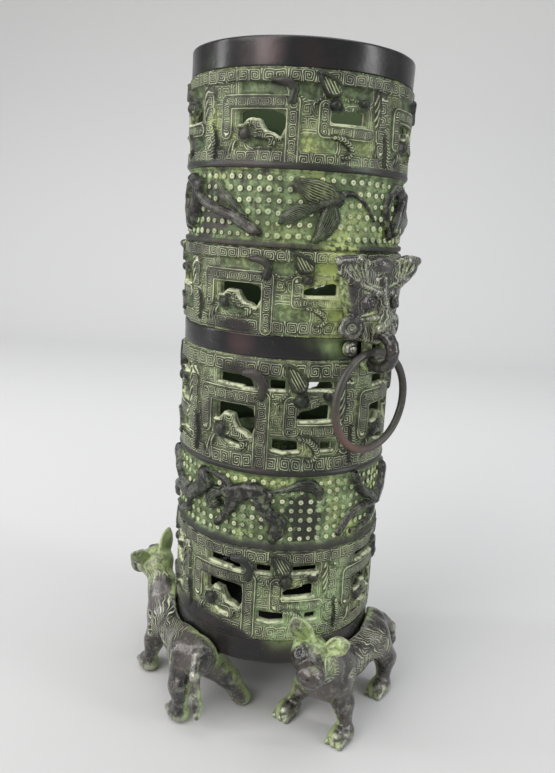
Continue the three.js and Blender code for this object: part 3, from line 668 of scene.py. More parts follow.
def innerSheet(pattern, height, between, rim):  # the bore's face with the same windows
    narrow = math.pi * tube["bore"] / 180
    across = withBetween(pattern["angle"], between)
    down = withBetween(pattern["down"], between)
    window = pattern["window"]
    upper = pattern["angle"][:, 0]
    points = [(a, 0.0) for a in upper] + [(a, height) for a in upper]
    steps = max(2, round(height / 4))
    for side in (upper[0], upper[-1]):
        points += [(side, height * k / steps) for k in range(1, steps)]
    first = len(points)
    used = sorted({p for pair in rim for p in pair})
    place = {p: first + k for k, p in enumerate(used)}
    points += [(across[p], down[p]) for p in used]
    edges = [(place[b], place[a]) for a, b in rim]
    fill = 22  # columns of places between the windows
    row = height / window.shape[1]
    for k in range(1, fill):
        column = window[round(k / fill * tube["columns"])]
        for j in range(1, steps):
            if column[min(round(height * j / steps / row), len(column) - 1)] > 1.3:
                points.append((unit["start"] + unit["span"] * k / fill, height * j / steps))
    flat = [(a * narrow, d) for a, d in points]
    _, _, faces, fromPlaces, _, _ = delaunay_2d_cdt(flat, edges, [], 0, 1e-6)
    origin = [ids[0] if ids else -1 for ids in fromPlaces]
    walls = {frozenset(edge) for edge in edges}
    faces = [[origin[v] for v in face] for face in faces]
    sharing = {}
    for k, face in enumerate(faces):
        for a, b in zip(face, face[1:] + face[:1]):
            sharing.setdefault(frozenset((a, b)), []).append(k)
    start = next(k for k, face in enumerate(faces) if 0 in face)
    kept, queue = {start}, [start]
    while queue:  # spreads over the metal, and stops at the windows' edges
        face = faces[queue.pop()]
        for a, b in zip(face, face[1:] + face[:1]):
            if frozenset((a, b)) not in walls:
                fresh = [k for k in sharing[frozenset((a, b))] if k not in kept]
                kept.update(fresh)
                queue += fresh
    return points, [faces[k] for k in sorted(kept)], place


def makeOpenworkBand(band):
    height = band["height"]
    pattern = unitPattern(height, band["blind"])
    if band["ridge"]:
        share = pattern["down"] / height
        edge = smooth(share, 1 - band["ridge"] - 0.012, 1 - band["ridge"] + 0.012)
        bulge = castHeight["ridge"] * np.sin(np.clip((share - 1 + band["ridge"]) / band["ridge"], 0, 1) * np.pi)
        pattern["relief"] = pattern["relief"] * (1 - edge) + bulge * edge
        pattern["polish"] = np.maximum(pattern["polish"], edge)
        pattern["t"] = np.where(edge > 0.3, motif["plain"], pattern["t"])
    pattern["radius"] = tube["radius"] + pattern["relief"]
    faces, between, rim = cutGrid(pattern["window"])
    points, innerFaces, place = innerSheet(pattern, height, between, rim)
    angles, downs = zip(*points)
    inner = {"angle": angles, "down": downs, "radius": tube["bore"], "relief": -2.0, "polish": 0.0, "lip": 0.0,
             "s": 0.0, "t": motif["plain"]}
    both = {key: np.concatenate([withBetween(pattern[key], between), np.broadcast_to(value, len(points))])
            for key, value in inner.items()}
    base = len(both["angle"]) - len(points)
    columns, rows = pattern["down"].shape
    faces += [[b, a, base + place[a], base + place[b]] for a, b in rim]
    faces += [[base + v for v in face] for face in innerFaces]
    for i in range(columns - 1):
        top, foot = i * rows, i * rows + rows - 1
        faces.append([top, top + rows, base + i + 1, base + i])
        faces.append([foot + rows, foot, base + columns + i, base + columns + i + 1])
    keep, faces = tightened(faces)
    both = {key: values[keep] for key, values in both.items()}
    z = band["foot"] + height - both["down"]
    radius = both["radius"]
    places, bloom = [], []
    for turn in range(0, 360, unit["span"]):
        angle = band["divider"] + both["angle"] + turn
        bloom.append(bloomAt(angle, z))
        worn = np.clip(-bloom[-1] * 1.2, 0, 1)  # the relief is flatter where it is rubbed
        places.append(bentPlaces(angle, radius - worn * (radius - tube["radius"] + 0.15) * (radius > 48), z))
    count = len(places)
    readings = {key: np.tile(both[key], count) for key in ("relief", "polish", "lip")}
    return makePiece(
        band["name"] + "_cast", band["name"], np.concatenate(places),
        [[v + k * len(keep) for v in face] for k in range(count) for face in faces], carvedMetal,
        {**readings, "bloom": np.concatenate(bloom)}, np.tile(np.stack([both["s"], both["t"]], -1), (count, 1)), 0.01)


for band in openworkBands:
    made = makeOpenworkBand(band)
    print("openwork", band["name"], len(made.data.polygons))


# Collars and dotted grounds are turned from rows of [height above the foot, radius, relief, polish], top first
def makeShell(name, node, foot, outer, material, columns=360):
    rows = outer + [(outer[-1][0], tube["bore"], -1, 0), (outer[0][0], tube["bore"], -1, 0)]
    angle, which = np.meshgrid(360 * np.arange(columns) / columns, np.arange(len(rows)), indexing="ij")
    rise, radius, relief, polish = (np.array(column)[which] for column in zip(*rows))
    z = foot + rise
    flat = bentPlaces(angle, tube["radius"], z)
    uneven = unevenness(flat[..., 0], flat[..., 1], flat[..., 2], handWork["shell"])
    radius = radius + np.where(radius > tube["bore"] + 1, uneven, 0)
    ids = np.arange(angle.size).reshape(angle.shape)
    ids = np.concatenate([ids, ids[:1]])
    ids = np.concatenate([ids, ids[:, :1]], 1)
    faces = np.stack([ids[:-1, :-1], ids[:-1, 1:], ids[1:, 1:], ids[1:, :-1]], -1).reshape(-1, 4).tolist()
    readings = {"relief": relief, "polish": polish, "bloom": bloomAt(angle, z)}
    makePiece(name, node, bentPlaces(angle, radius, z).reshape(-1, 3), faces, material,
              {key: values.ravel() for key, values in readings.items()})


def roundedRows(collar, steps=5, middle=8):  # a plain wall whose two edges are rounded
    height, radius, top, foot = (collar[key] for key in ("height", "radius", "top", "bottom"))
    turns = [math.pi / 2 * k / steps for k in range(steps + 1)]
    rows = [(height - top * (1 - math.cos(a)), radius - top * (1 - math.sin(a)), 0, 1) for a in turns]
    rows += [(height - top - (height - top - foot) * k / middle, radius, 0, 1) for k in range(1, middle)]
    rows += [(foot * (1 - math.sin(a)), radius - foot * (1 - math.cos(a)), 0, 1) for a in turns]
    return rows


collars = [
    {"name": "base_collar", "foot": 0.0, "height": 12.0, "radius": 49.3, "top": 0.5, "bottom": 1.2},
    {"name": "middle_collar", "foot": 144.15, "height": 9.65, "radius": 49.2, "top": 0.6, "bottom": 0.6},
    {"name": "rim_collar", "foot": 258.75, "height": 11.25, "radius": 49.2, "top": 1.1, "bottom": 0.5},
]
for collar in collars:
    makeShell(collar["name"] + "_turned", collar["name"], collar["foot"], roundedRows(collar), polishedMetal)

dottedBands = [
    {"name": "dotted_band_lower", "foot": 57.5, "height": 35.0, "ridge": 3.2, "rows": 7, "columns": 72},
    {"name": "dotted_band_upper", "foot": 190.0, "height": 30.8, "ridge": 2.2, "rows": 6, "columns": 72},
]
dotted = {"radius": 48.7, "lip": 0.9, "ridge": 1.3, "bulge": 0.25, "step": 0.6}


def dottedRows(band):  # a ground between a thin upper lip and a rounded ridge at the foot
    rows = []
    count = int(band["height"] / dotted["step"])
    for k in range(count + 1):
        h = band["height"] * (1 - k / count)
        lip = smooth(h, band["height"] - 1.4, band["height"] - 0.4)
        ridge = 1 - smooth(h, band["ridge"] - 0.5, band["ridge"] + 0.4)
        bulge = dotted["bulge"] * math.sin(min(1, h / band["ridge"]) * math.pi)
        radius = dotted["radius"] + (dotted["lip"] * lip if not ridge else (dotted["ridge"] + bulge) * ridge)
        rows.append((h, radius, -1.2 + 1.2 * max(lip, ridge), float(ridge)))
    return rows


for band in dottedBands:
    makeShell(band["name"] + "_ground", band["name"], band["foot"], dottedRows(band), dotGround, 480)
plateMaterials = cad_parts["floor_plate"].data.materials
plateMaterials.clear()
plateMaterials.append(polishedMetal)
print("collars and dotted grounds made")


def newGroup(name, inputs):  # a Geometry Nodes tree, its inputs' identifiers, and their values inside it
    group = bpy.data.node_groups.new(name, "GeometryNodeTree")
    group.interface.new_socket(name="Geometry", in_out="OUTPUT", socket_type="NodeSocketGeometry")
    sockets = {}
    for key, kind in inputs.items():
        made = group.interface.new_socket(name=key, in_out="INPUT", socket_type="NodeSocket" + kind)
        sockets[key] = made.identifier
    tree = Tree(group)
    given = tree.node("NodeGroupInput")
    return tree, sockets, {key: given.beside(key) for key in inputs}


def closeGroup(tree, geometry, material):
    real = tree.node("GeometryNodeRealizeInstances", {0: geometry})
    coated = tree.node("GeometryNodeSetMaterial", {0: real, "Material": material})
    tree.node("NodeGroupOutput", {0: coated})


def grown(name, tree, sockets, sizes):  # what a tree makes, as a plain mesh, and its places in mm
    host = newObject(name, bpy.data.meshes.new(name))
    modifier = host.modifiers.new(tree.group.name, "NODES")
    modifier.node_group = tree.group
    for key, value in sizes.items():
        modifier[sockets[key]] = value
    host.data.update()
    bpy.context.view_layer.update()
    result = bpy.data.meshes.new_from_object(host.evaluated_get(bpy.context.evaluated_depsgraph_get()))
    host.modifiers.clear()
    host.data = result
    co = np.zeros(len(result.vertices) * 3, np.float32)
    result.vertices.foreach_get("co", co)
    return host, co.reshape(-1, 3) / mm


boss = {"profile": [(1.4, -0.4), (1.32, 0.35), (1.0, 0.8), (0.55, 0.85)], "dimple": 0.45, "sides": 8,
        "smallest": 0.8, "largest": 1.12, "scatter": 0.25, "foot": 0.3, "margin": 1.6, "seed": 11}


def bossPattern():  # one boss: a low dome with a dimple, sunk in the ground
    profile, sides = boss["profile"], boss["sides"]  # each point's radius and height
    turns = [math.pi * 2 * k / sides for k in range(sides)]
    places = [(r * math.cos(a), r * math.sin(a), h) for r, h in profile for a in turns]
    places += [(0, 0, boss["dimple"]), (0, 0, profile[0][1])]
    pairs = [(k, (k + 1) % sides) for k in range(sides)]
    last = sides * (len(profile) - 1)
    faces = [[j + a, j + b, j + sides + b, j + sides + a] for j in range(0, last, sides) for a, b in pairs]
    faces += [[last + a, last + b, last + sides] for a, b in pairs] + [[b, a, last + sides + 1] for a, b in pairs]
    return newObject("bossPattern", newMesh("bossPattern", np.array(places) * mm, faces))


def bossTree(pattern):  # rows of bosses round the tube
    tree, sockets, given = newGroup("bossRows", {
        "Columns": "Int", "Rows": "Int", "Radius": "Float", "Foot": "Float", "Pitch": "Float", "Scatter": "Float",
        "Seed": "Int"})
    rows, columns, radius = given["Rows"], given["Columns"], given["Radius"]

    def scattered(shift, low, high):
        inputs = {2: low, 3: high, "Seed": given["Seed"] + shift}
        return tree.node("FunctionNodeRandomValue", inputs, 1, data_type="FLOAT")

    index = tree.node("GeometryNodeInputIndex")
    wander = scattered(1, -1.0, 1.0) * given["Scatter"]
    drift = scattered(2, -1.0, 1.0) * given["Scatter"]
    turn = (index % columns) / columns * (2 * math.pi) + wander / radius
    height = ((index / columns).floor() + 0.5) * given["Pitch"] + given["Foot"] + drift
    out = turn.maths("COSINE"), turn.maths("SINE")
    outward = tree.node("ShaderNodeCombineXYZ", {0: out[0], 1: out[1]})
    place = tree.node("ShaderNodeCombineXYZ", {0: out[0] * radius, 1: out[1] * radius, 2: height})
    copies = tree.node("GeometryNodeInstanceOnPoints", {
        "Points": tree.node("GeometryNodePoints", {"Count": rows * columns, "Position": place}),
        "Instance": tree.node("GeometryNodeObjectInfo", {"Object": pattern}, "Geometry"),
        "Rotation": tree.node("FunctionNodeAlignRotationToVector", {"Vector": outward}, axis="Z"),
        "Scale": scattered(3, boss["smallest"], boss["largest"])})
    closeGroup(tree, copies, dotGround)
    return tree, sockets


pattern = bossPattern()
tree, sockets = bossTree(pattern)
for band in dottedBands:
    clear = band["height"] - band["ridge"] - boss["margin"]
    bosses, places = grown(band["name"] + "_bosses", tree, sockets, {
        "Columns": band["columns"], "Rows": band["rows"], "Radius": dotted["radius"] * mm,
        "Foot": (band["foot"] + band["ridge"] + boss["foot"]) * mm, "Pitch": clear / band["rows"] * mm,
        "Scatter": boss["scatter"] * mm, "Seed": boss["seed"]})
    x, y, z = places.T
    lift = np.hypot(x, y) - dotted["radius"]
    setReadings(bosses.data, {"relief": smooth(lift, 0.4, 0.8), "polish": 0 * lift,
                              "bloom": 0.12 + np.maximum(bloomAt(np.degrees(np.arctan2(y, x)), z), 0)})
    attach(bosses, "vessel")
bpy.data.objects.remove(pattern)
print("bosses made")


# Each limb: height in mm, how strongly lines are cut along it, and its path of
# [degrees, share of the band's height, half-width in mm]
animals = {
    "upper_bird": {"start": -42.4, "band": 1, "material": birdMetal, "limbs": [
        (2.8, 1, [(-6.5, 0.28, 1.2), (-3.4, 0.35, 3.3), (1.4, 0.43, 3.5), (6.7, 0.48, 2.4), (12, 0.54, 1.7)]),
        (3.0, 1, [(-0.4, 0.86, 1.2), (2.9, 0.79, 3.3), (8.4, 0.73, 5.1), (14.5, 0.67, 5.2), (19.9, 0.62, 3.2)]),
        (2.8, 1, [(17.3, 0.53, 3.0), (16.7, 0.37, 4.8), (14.7, 0.22, 4.1), (10.8, 0.07, 2.0)]),
        (3.6, 0.2, [(12, 0.56, 2.4), (18, 0.6, 2.7), (21, 0.66, 2.2)]),
        (2.2, 0, [(18.9, 0.65, 2.1), (22.7, 0.71, 1.6), (27.8, 0.72, 1.2), (33.7, 0.64, 1.1), (37.9, 0.52, 1.2),
                  (41.8, 0.37, 1.0)]),
    ]},
    "upper_beast": {"start": -95.4, "band": 1, "material": animalMetal, "limbs": [
        (4.2, 0.1, [(-8.5, 0.84, 2.7), (-2, 0.73, 3.7), (-2.1, 0.59, 3.7), (-5.3, 0.43, 3.4), (-8.7, 0.23, 3.2)]),
        (3.4, 0.1, [(-8.5, 0.84, 2.4), (-14.2, 0.74, 2.0), (-16.9, 0.57, 1.7), (-16.4, 0.32, 1.6),
                    (-12.5, 0.13, 1.6)]),
        (3.4, 0.1, [(-3, 0.6, 3.2), (4.5, 0.49, 2.7), (12.1, 0.42, 2.2), (20.4, 0.35, 2.3), (27.2, 0.25, 2.8),
                    (32.5, 0.17, 2.8), (36, 0.12, 1.7)]),
        (2.4, 0.9, [(12.2, 0.8, 1.1), (14.4, 0.68, 2.3), (18.9, 0.55, 2.6), (24.8, 0.44, 1.8), (28.7, 0.35, 1.0)]),
    ]},
    "lower_beast": {"start": -54.4, "band": 0, "material": animalMetal, "limbs": [
        (3.6, 0, [(-15, 0.68, 3.7), (-10.4, 0.66, 4.8), (-4.1, 0.74, 4.1), (1, 0.76, 3.9), (4.7, 0.69, 4.4)]),
        (3.4, 0, [(-11.4, 0.6, 4.1), (-12.9, 0.44, 2.9)]),
        (2.6, 0.4, [(-33.4, 0.91, 1.0), (-24.3, 0.9, 1.5), (-17.7, 0.84, 2.1), (-13.4, 0.75, 2.4)]),
        (4.0, 0.8, [(-16.2, 0.66, 2.3), (-21.2, 0.64, 2.9), (-25.7, 0.51, 2.8), (-24.1, 0.41, 2.3),
                    (-19.6, 0.47, 1.8)]),
        (3.0, 0.1, [(-12.4, 0.49, 2.9), (-15.6, 0.32, 2.2), (-21, 0.16, 1.8)]),
        (3.4, 0.1, [(3.8, 0.66, 4.4), (5.6, 0.49, 3.4), (9.8, 0.38, 3.8), (13.4, 0.33, 3.8), (12.2, 0.17, 3.9),
                    (10.4, 0.09, 2.9)]),
        (2.6, 0.9, [(4.1, 0.74, 1.5), (10.5, 0.77, 1.2), (16.8, 0.81, 1.7), (22.7, 0.87, 2.7), (28.8, 0.86, 3.3),
                    (33.3, 0.77, 2.7), (34.1, 0.68, 1.7)]),
    ]},
    "lower_climber": {"start": 8.6, "band": 0, "material": animalMetal, "limbs": [
        (4.0, 0.2, [(-8.4, 0.96, 2.2), (-5.9, 0.83, 2.2), (-1.8, 0.68, 2.2), (7.1, 0.55, 2.6), (13.9, 0.42, 3.0)]),
        (3.4, 0.3, [(14.5, 0.4, 3.0), (-0.5, 0.42, 2.3), (-8.5, 0.37, 2.2), (-12.4, 0.26, 2.1), (-16, 0.12, 2.3)]),
        (2.6, 0.1, [(13.2, 0.34, 2.3), (11.4, 0.16, 2.0), (3.4, 0.09, 1.8), (-7.3, 0.08, 1.6)]),
        (4.2, 0.1, [(14, 0.42, 3.2), (22, 0.56, 4.1), (28, 0.72, 4.4), (26, 0.84, 3.4)]),
    ]},
}


animalRelief = {"pitch": 0.42, "margin": 6, "shoulder": 3.0, "sunk": 0.12, "base": 0.25, "root": 0.3}  # mm


def makeAnimal(name, animal):
    band = dottedBands[animal["band"]]
    tall = band["height"] - band["ridge"]
    limbs = [(height, cut, [(u * degree, (1 - v) * tall, r) for u, v, r in path])
             for height, cut, path in animal["limbs"]]
    spots = np.array([p for _, _, path in limbs for p in path])
    pitch, margin = animalRelief["pitch"], animalRelief["margin"]
    xs = np.arange(spots[:, 0].min() - margin, spots[:, 0].max() + margin, pitch)
    ys = np.arange(max(spots[:, 1].min() - margin, 0.2), min(spots[:, 1].max() + margin, tall - 0.2), pitch)
    x, y = np.meshgrid(xs, ys, indexing="ij")
    edge, lift, lines, side = np.full_like(x, 9.0), np.zeros_like(x), np.zeros_like(x), np.zeros_like(x)
    for height, cut, path in limbs:
        gap, _, across = pathField(x, y, path)
        edge = np.minimum(edge, gap)
        rise = height * dome(gap, animalRelief["shoulder"])
        above = rise > lift
        lift = np.where(above, rise, lift)
        lines = np.where(above, cut * (gap < -0.5), lines)
        side = np.where(above, across, side)
    lift = lift - animalRelief["sunk"] + unevenness(x, y, 0 * x, handWork["animal"])
    faces, between, rim = cutGrid(-edge)
    x, y, lift, lines, side = (withBetween(v, between) for v in (x, y, lift, lines, side))
    count = len(x)
    angle, z = animal["start"] + x / degree, band["foot"] + band["height"] - y
    radius = dotted["radius"]
    places = np.concatenate([bentPlaces(angle, radius + animalRelief["base"] + np.maximum(lift, 0), z),
                             bentPlaces(angle, np.full(count, radius - animalRelief["root"]), z)])
    faces += [[v + count for v in reversed(face)] for face in faces] + [[b, a, a + count, b + count] for a, b in rim]
    used, faces = tightened(faces)
    hollow = np.concatenate([np.clip(0.9 - lift, 0, 1), np.ones(count)])[used]
    uv = np.stack([np.tile(lines, 2), np.tile(side, 2)], -1)[used]
    for k in range(3):
        makePiece(f"{name}_{k + 1}_relief", f"{name}_{k + 1}", turnedBy(places[used], 120 * k), faces,
                  animal["material"], {"hollow": hollow}, uv, 0.005)


for name, animal in animals.items():
    makeAnimal(name, animal)
print("relief animals made")


class Clay:  # a block of distances, negative inside, that shapes are joined to and cut from
    def __init__(self, low, high, pitch):
        self.low = np.array(low, float)
        self.pitch = pitch
        self.axes = [np.arange(a, b + pitch, pitch) for a, b in zip(low, high)]
        self.values = np.full([len(axis) for axis in self.axes], 30.0)

    def places(self, spans=(slice(None), slice(None), slice(None))):
        x, y, z = (axis[span] for axis, span in zip(self.axes, spans))
        return x[:, None, None], y[None, :, None], z[None, None, :]

    def join(self, shape, blend=0.0, sign=1):  # with a soft edge as wide as blend
        distance, low, high = shape
        spans = tuple(slice(max(0, np.searchsorted(axis, a - blend - 2)), np.searchsorted(axis, b + blend + 2))
                      for axis, a, b in zip(self.axes, low, high))
        near = distance(*self.places(spans))
        here = sign * self.values[spans]
        if blend:
            h = np.clip(0.5 + 0.5 * (here - near) / blend, 0, 1)
            here = here * (1 - h) + near * h - blend * h * (1 - h)
        else:
            here = np.minimum(here, near)
        self.values[spans] = sign * here

    def joinAll(self, shapes, blend):
        for shape in shapes:
            self.join(shape, blend)

    def cut(self, shape, blend):
        self.join(shape, blend, -1)

    def trim(self, beyond):  # takes away what lies beyond a distance above 0
        self.values = np.maximum(self.values, beyond(*self.places()))


def limb(start, end, r0, r1):
    a, b = np.array(start, float), np.array(end, float)
    way = b - a
    size = float(way @ way)

    def distance(x, y, z):
        x, y, z = x - a[0], y - a[1], z - a[2]
        t = np.clip((x * way[0] + y * way[1] + z * way[2]) / size, 0, 1)
        away = np.sqrt((x - t * way[0]) ** 2 + (y - t * way[1]) ** 2 + (z - t * way[2]) ** 2)
        return away - (r0 + (r1 - r0) * t)
    r = max(r0, r1)
    return distance, np.minimum(a, b) - r, np.maximum(a, b) + r


def egg(centre, radii, along=None, up=(0, 0, 1)):  # along turns the egg's first radius that way
    centre, radii, up = np.array(centre, float), np.array(radii, float), np.array(up, float)
    egged = np.eye(3)
    if along is not None:
        first = np.array(along, float) / np.linalg.norm(along)
        third = up - first * (first @ up)
        third /= np.linalg.norm(third)
        egged = np.array([first, np.cross(third, first), third])

    def distance(x, y, z):
        x, y, z = x - centre[0], y - centre[1], z - centre[2]
        p = [(x * ax[0] + y * ax[1] + z * ax[2]) / r for ax, r in zip(egged, radii)]
        k0 = np.sqrt(p[0] ** 2 + p[1] ** 2 + p[2] ** 2) + 1e-9
        k1 = np.sqrt((p[0] / radii[0]) ** 2 + (p[1] / radii[1]) ** 2 + (p[2] / radii[2]) ** 2) + 1e-9
        return k0 * (k0 - 1) / k1
    return distance, centre - radii.max(), centre + radii.max()


def ball(centre, radius):
    return egg(centre, (radius, radius, radius))


def hoop(centre, axis, radius, thick):
    centre, axis = np.array(centre, float), np.array(axis, float) / np.linalg.norm(axis)

    def distance(x, y, z):
        x, y, z = x - centre[0], y - centre[1], z - centre[2]
        h = x * axis[0] + y * axis[1] + z * axis[2]
        flat = np.sqrt(np.maximum(x * x + y * y + z * z - h * h, 0))
        return np.sqrt((flat - radius) ** 2 + h * h) - thick
    return distance, centre - radius - thick, centre + radius + thick


def chain(points):  # limbs through [x, y, z, radius] points
    return [limb(a[:3], b[:3], a[3], b[3]) for a, b in zip(points, points[1:])]


def sheetFrom(clay):  # the closed skin of a block, faces outward
    values = clay.values
    inside = values < 0
    shape = np.array(values.shape)
    ends = [(slice(0, n - 1), slice(1, n)) for n in shape]
    count = sum(inside[a, b, c].astype(np.int8) for a in ends[0] for b in ends[1] for c in ends[2])
    cells = (count > 0) & (count < 8)
    index = np.full(cells.shape, -1)
    index[cells] = np.arange(cells.sum())
    corner = np.argwhere(cells)
    total, hits = np.zeros((len(corner), 3)), np.zeros(len(corner))
    for axis in range(3):
        for a in (0, 1):
            for b in (0, 1):
                start, stop = corner + np.insert([a, b], axis, 0), corner + np.insert([a, b], axis, 1)
                f0, f1 = values[tuple(start.T)], values[tuple(stop.T)]
                cross = (f0 < 0) != (f1 < 0)
                point = start.astype(float)
                point[:, axis] += f0 / np.where(cross, f0 - f1, 1)
                total[cross] += point[cross]
                hits[cross] += 1
    places = clay.low + clay.pitch * total / hits[:, None]
    quads = []
    for axis in range(3):
        u, v = (axis + 1) % 3, (axis + 2) % 3
        low, high = [slice(None)] * 3, [slice(None)] * 3
        low[axis], high[axis] = ends[axis]
        first = inside[tuple(low)]
        at = np.argwhere(first != inside[tuple(high)])
        at = at[(at[:, u] > 0) & (at[:, v] > 0) & (at[:, u] < shape[u] - 1) & (at[:, v] < shape[v] - 1)]
        du, dv = np.eye(3, dtype=int)[u], np.eye(3, dtype=int)[v]
        quad = np.stack([index[tuple((at - s).T)] for s in (du + dv, dv, 0 * du, du)], -1)
        outward = first[tuple(at.T)]
        quads.append(np.where(outward[:, None], quad, quad[:, ::-1]))
    return places, np.concatenate(quads)


def edgesOf(quads, count):  # every side of every face, and how many of them meet at each place
    edges = np.concatenate([quads[:, [k, (k + 1) % 4]] for k in range(4)])
    return edges, np.bincount(edges.ravel(), minlength=count)


def summed(edges, values):  # the sum of the neighbours' values at each place
    columns = values.reshape(len(values), -1)
    total = np.zeros_like(columns)
    for a, b in ((0, 1), (1, 0)):
        for k in range(columns.shape[1]):
            total[:, k] += np.bincount(edges[:, a], columns[edges[:, b], k], minlength=len(values))
    return total.reshape(values.shape)


def hollowsOf(places, quads, rounds=2):  # how deep each place lies between its neighbours, and the way out
    edges, count = edgesOf(quads, len(places))
    faceNormal = np.cross(places[quads[:, 2]] - places[quads[:, 0]], places[quads[:, 3]] - places[quads[:, 1]])
    normal = np.zeros_like(places)
    for corner in quads.T:
        for k in range(3):
            normal[:, k] += np.bincount(corner, faceNormal[:, k], minlength=len(places))
    normal /= np.linalg.norm(normal, axis=1)[:, None] + 1e-9
    depth = ((summed(edges, places) / count[:, None] - places) * normal).sum(1)
    for _ in range(rounds):
        depth = 0.5 * depth + 0.5 * summed(edges, depth) / count
    return depth, normal


def eased(places, quads, rounds, amount=0.4):  # takes the steps of the block out
    edges, count = edgesOf(quads, len(places))
    for _ in range(rounds):
        places = places + amount * (summed(edges, places) / count[:, None] - places)
    return places


beast = {"pitch": 0.65, "ground": -35.0, "angles": (11.6, 131.6, 251.6), "seat": 50.25}
beastTrunk = [(46, 25, -2, 9.3), (48, 15, -4, 10.5), (47.5, 0, -6, 10.2), (47.5, -12, -5, 10.8),
              (49, -20, -3, 11), (50.5, -28, 4, 8.2), (51.8, -35, 11.5, 6.4)]
beastTail = [(50, 31, 1, 3.0), (52.5, 36.5, -5, 2.4), (52.5, 38.5, -13, 2.2), (51, 37.5, -20, 2.3),
             (52, 40, -24, 1.8)]
beastCurls = [  # spiral grooves on the haunch and the shoulder: centre, axis, radii
    ((61.5, 15, -4), (1, 0.25, 0), (5.5, 3.0)),
    ((60.5, -17, -7), (1, -0.25, 0), (5.0, 2.6)),
]
beastLegs = [  # each leg's points, and the middle of its foot
    ([(53, -17, -7, 8.8), (58, -18, -18, 5.0), (60.2, -18, -28, 3.3)], (60.4, -20.6, -31.6)),
    ([(43, -16, -9, 8.2), (36, -19, -19, 4.8), (31.6, -19.6, -28, 3.3)], (30.8, -22.4, -31.6)),
    ([(51, 19.5, -5, 9.8), (56, 25.5, -16, 5.4), (56, 26, -28, 3.4)], (56, 23, -31.6)),
    ([(42, 19, -8, 9.0), (31, 22.5, -19, 5.2), (24.4, 24, -28, 3.4)], (23.6, 20.6, -31.6)),
]
beastHead = {"centre": (52, -39.4, 15.2), "snout": (59.8, -50.4, 11.8), "up": (0.3, 0.2, 0.94)}
beastEars = [
    {"root": (48.8, -38.6, 19.6), "tip": (45, -43.6, 31), "face": (0.5, -0.85, 0.1), "wide": 5.4},
    {"root": (58.6, -36.6, 19.2), "tip": (66.6, -34, 24), "face": (0.3, -0.85, 0.42), "wide": 4.4},
]


def addHead(clay):
    head, snout, up = (np.array(beastHead[key], float) for key in ("centre", "snout", "up"))
    ahead = (snout - head) / np.linalg.norm(snout - head)
    up -= ahead * (ahead @ up)
    up /= np.linalg.norm(up)
    out = np.cross(ahead, up)  # towards the beast's own outer side
    out = out * np.sign(out[0])

    def at(start, far, high=0.0, aside=0.0):
        return start + far * ahead + high * up + aside * out

    clay.join(egg(head, (9, 9.2, 8), ahead, up), 3)
    clay.join(limb(at(head, 4), at(snout, -3), 6.8, 5.8), 3)
    clay.join(egg(at(snout, -1.5), (3.8, 6.6, 5.6), ahead, up), 1.5)
    clay.join(egg(at(snout, 1.2, 2.6), (2, 3.6, 2.2), ahead, up), 0.8)  # nose
    clay.join(limb(at(head, 2, 5.5), at(snout, -3, 3.4), 2.4, 1.8), 1.5)
    clay.cut(limb(at(snout, 2, -1.6, -3), at(snout, 2, -1.6, 3), 0.6, 0.6), 0.6)  # lips
    for side in (-1, 1):
        clay.cut(limb(at(snout, 1.2, -1.6, side * 4.4), at(head, 6, -3.2, side * 6.4), 0.6, 0.5), 0.5)
        clay.cut(limb(at(snout, 1.6, 1.4, side * 2.2), at(snout, -1, 2.6, side * 3.2), 0.8, 0.5), 0.5)
        eye = at(head, 4.6, 3.0, side * 5.6)
        gaze = at(0, 0.35, 0.45, side * 0.8)
        clay.join(ball(eye, 3.3), 1.0)
        clay.join(hoop(eye + 1.9 * gaze, gaze, 2.7, 0.75), 0.4)
        clay.cut(hoop(eye + 2.6 * gaze, gaze, 1.9, 0.5), 0.2)
        clay.join(ball(eye + 1.6 * gaze, 1.6), 0.2)
        clay.join(limb(at(head, 1, 6.4, side * 3.0), at(eye, -2.5, 2.5, side * 1.6), 1.3, 1.0), 0.8)  # brow
    for ear in beastEars:
        root, tip, face = (np.array(ear[key], float) for key in ("root", "tip", "face"))
        way = tip - root
        length, middle = np.linalg.norm(way), root + way * 0.48
        clay.join(egg(middle, (length * 0.62, ear["wide"], 1.9), way, face), 1.2)
        clay.cut(egg(middle + face * 1.5, (length * 0.5, ear["wide"] * 0.68, 1.6), way, face), 0.5)
        clay.join(limb(root + face * 0.2, middle + way * 0.2 + face * 0.2, 0.8, 0.4), 0.5)
        clay.join(limb(middle + way * 0.25, tip + way * 0.12, 2.4, 0.6), 1.2)


def beastSkin():
    clay = Clay((8, -63, -37), (76, 48, 34), beast["pitch"])
    clay.joinAll(chain(beastTrunk), 4)
    for points, foot in beastLegs:
        foot = np.array(foot)
        clay.joinAll(chain(points), 3)
        clay.join(egg(foot, (7.4, 5.3, 4.3), (0, -1, 0)), 2)
        for k in (-1, 0, 1):  # toes
            clay.join(limb(foot + (k * 3.1, -4, -0.8), foot + (k * 3.3, -7.2, -2.2), 1.9, 1.6), 0.7)
    clay.join(egg((52, -23, -7), (8.2, 7.5, 9.5)), 4)  # broad chest
    clay.join(egg((45, -24.5, -8), (8.5, 6.5, 8.5)), 4)
    addHead(clay)
    for z in (4, 6.5):  # grooves of the neck
        clay.cut(hoop((50.6, -29.5 - (z - 4) * 0.6, z), (0.1, -0.62, 0.78), 7.6, 0.5), 0.5)
    clay.joinAll(chain(beastTail), 1.5)
    for centre, axis, sizes in beastCurls:
        for size in sizes:
            clay.cut(hoop(centre, axis, size, 0.75), 0.5)
    for k in range(4):  # ribs
        clay.cut(limb((58.6, 6 - 4 * k, 2), (57.6, 8 - 4 * k, -11), 0.55, 0.5), 0.4)
    clay.trim(lambda x, y, z: np.minimum(beast["seat"] - np.sqrt(x * x + y * y), z + 0.3))  # the tube's foot
    clay.trim(lambda x, y, z: beast["ground"] - z)
    return sheetFrom(clay)


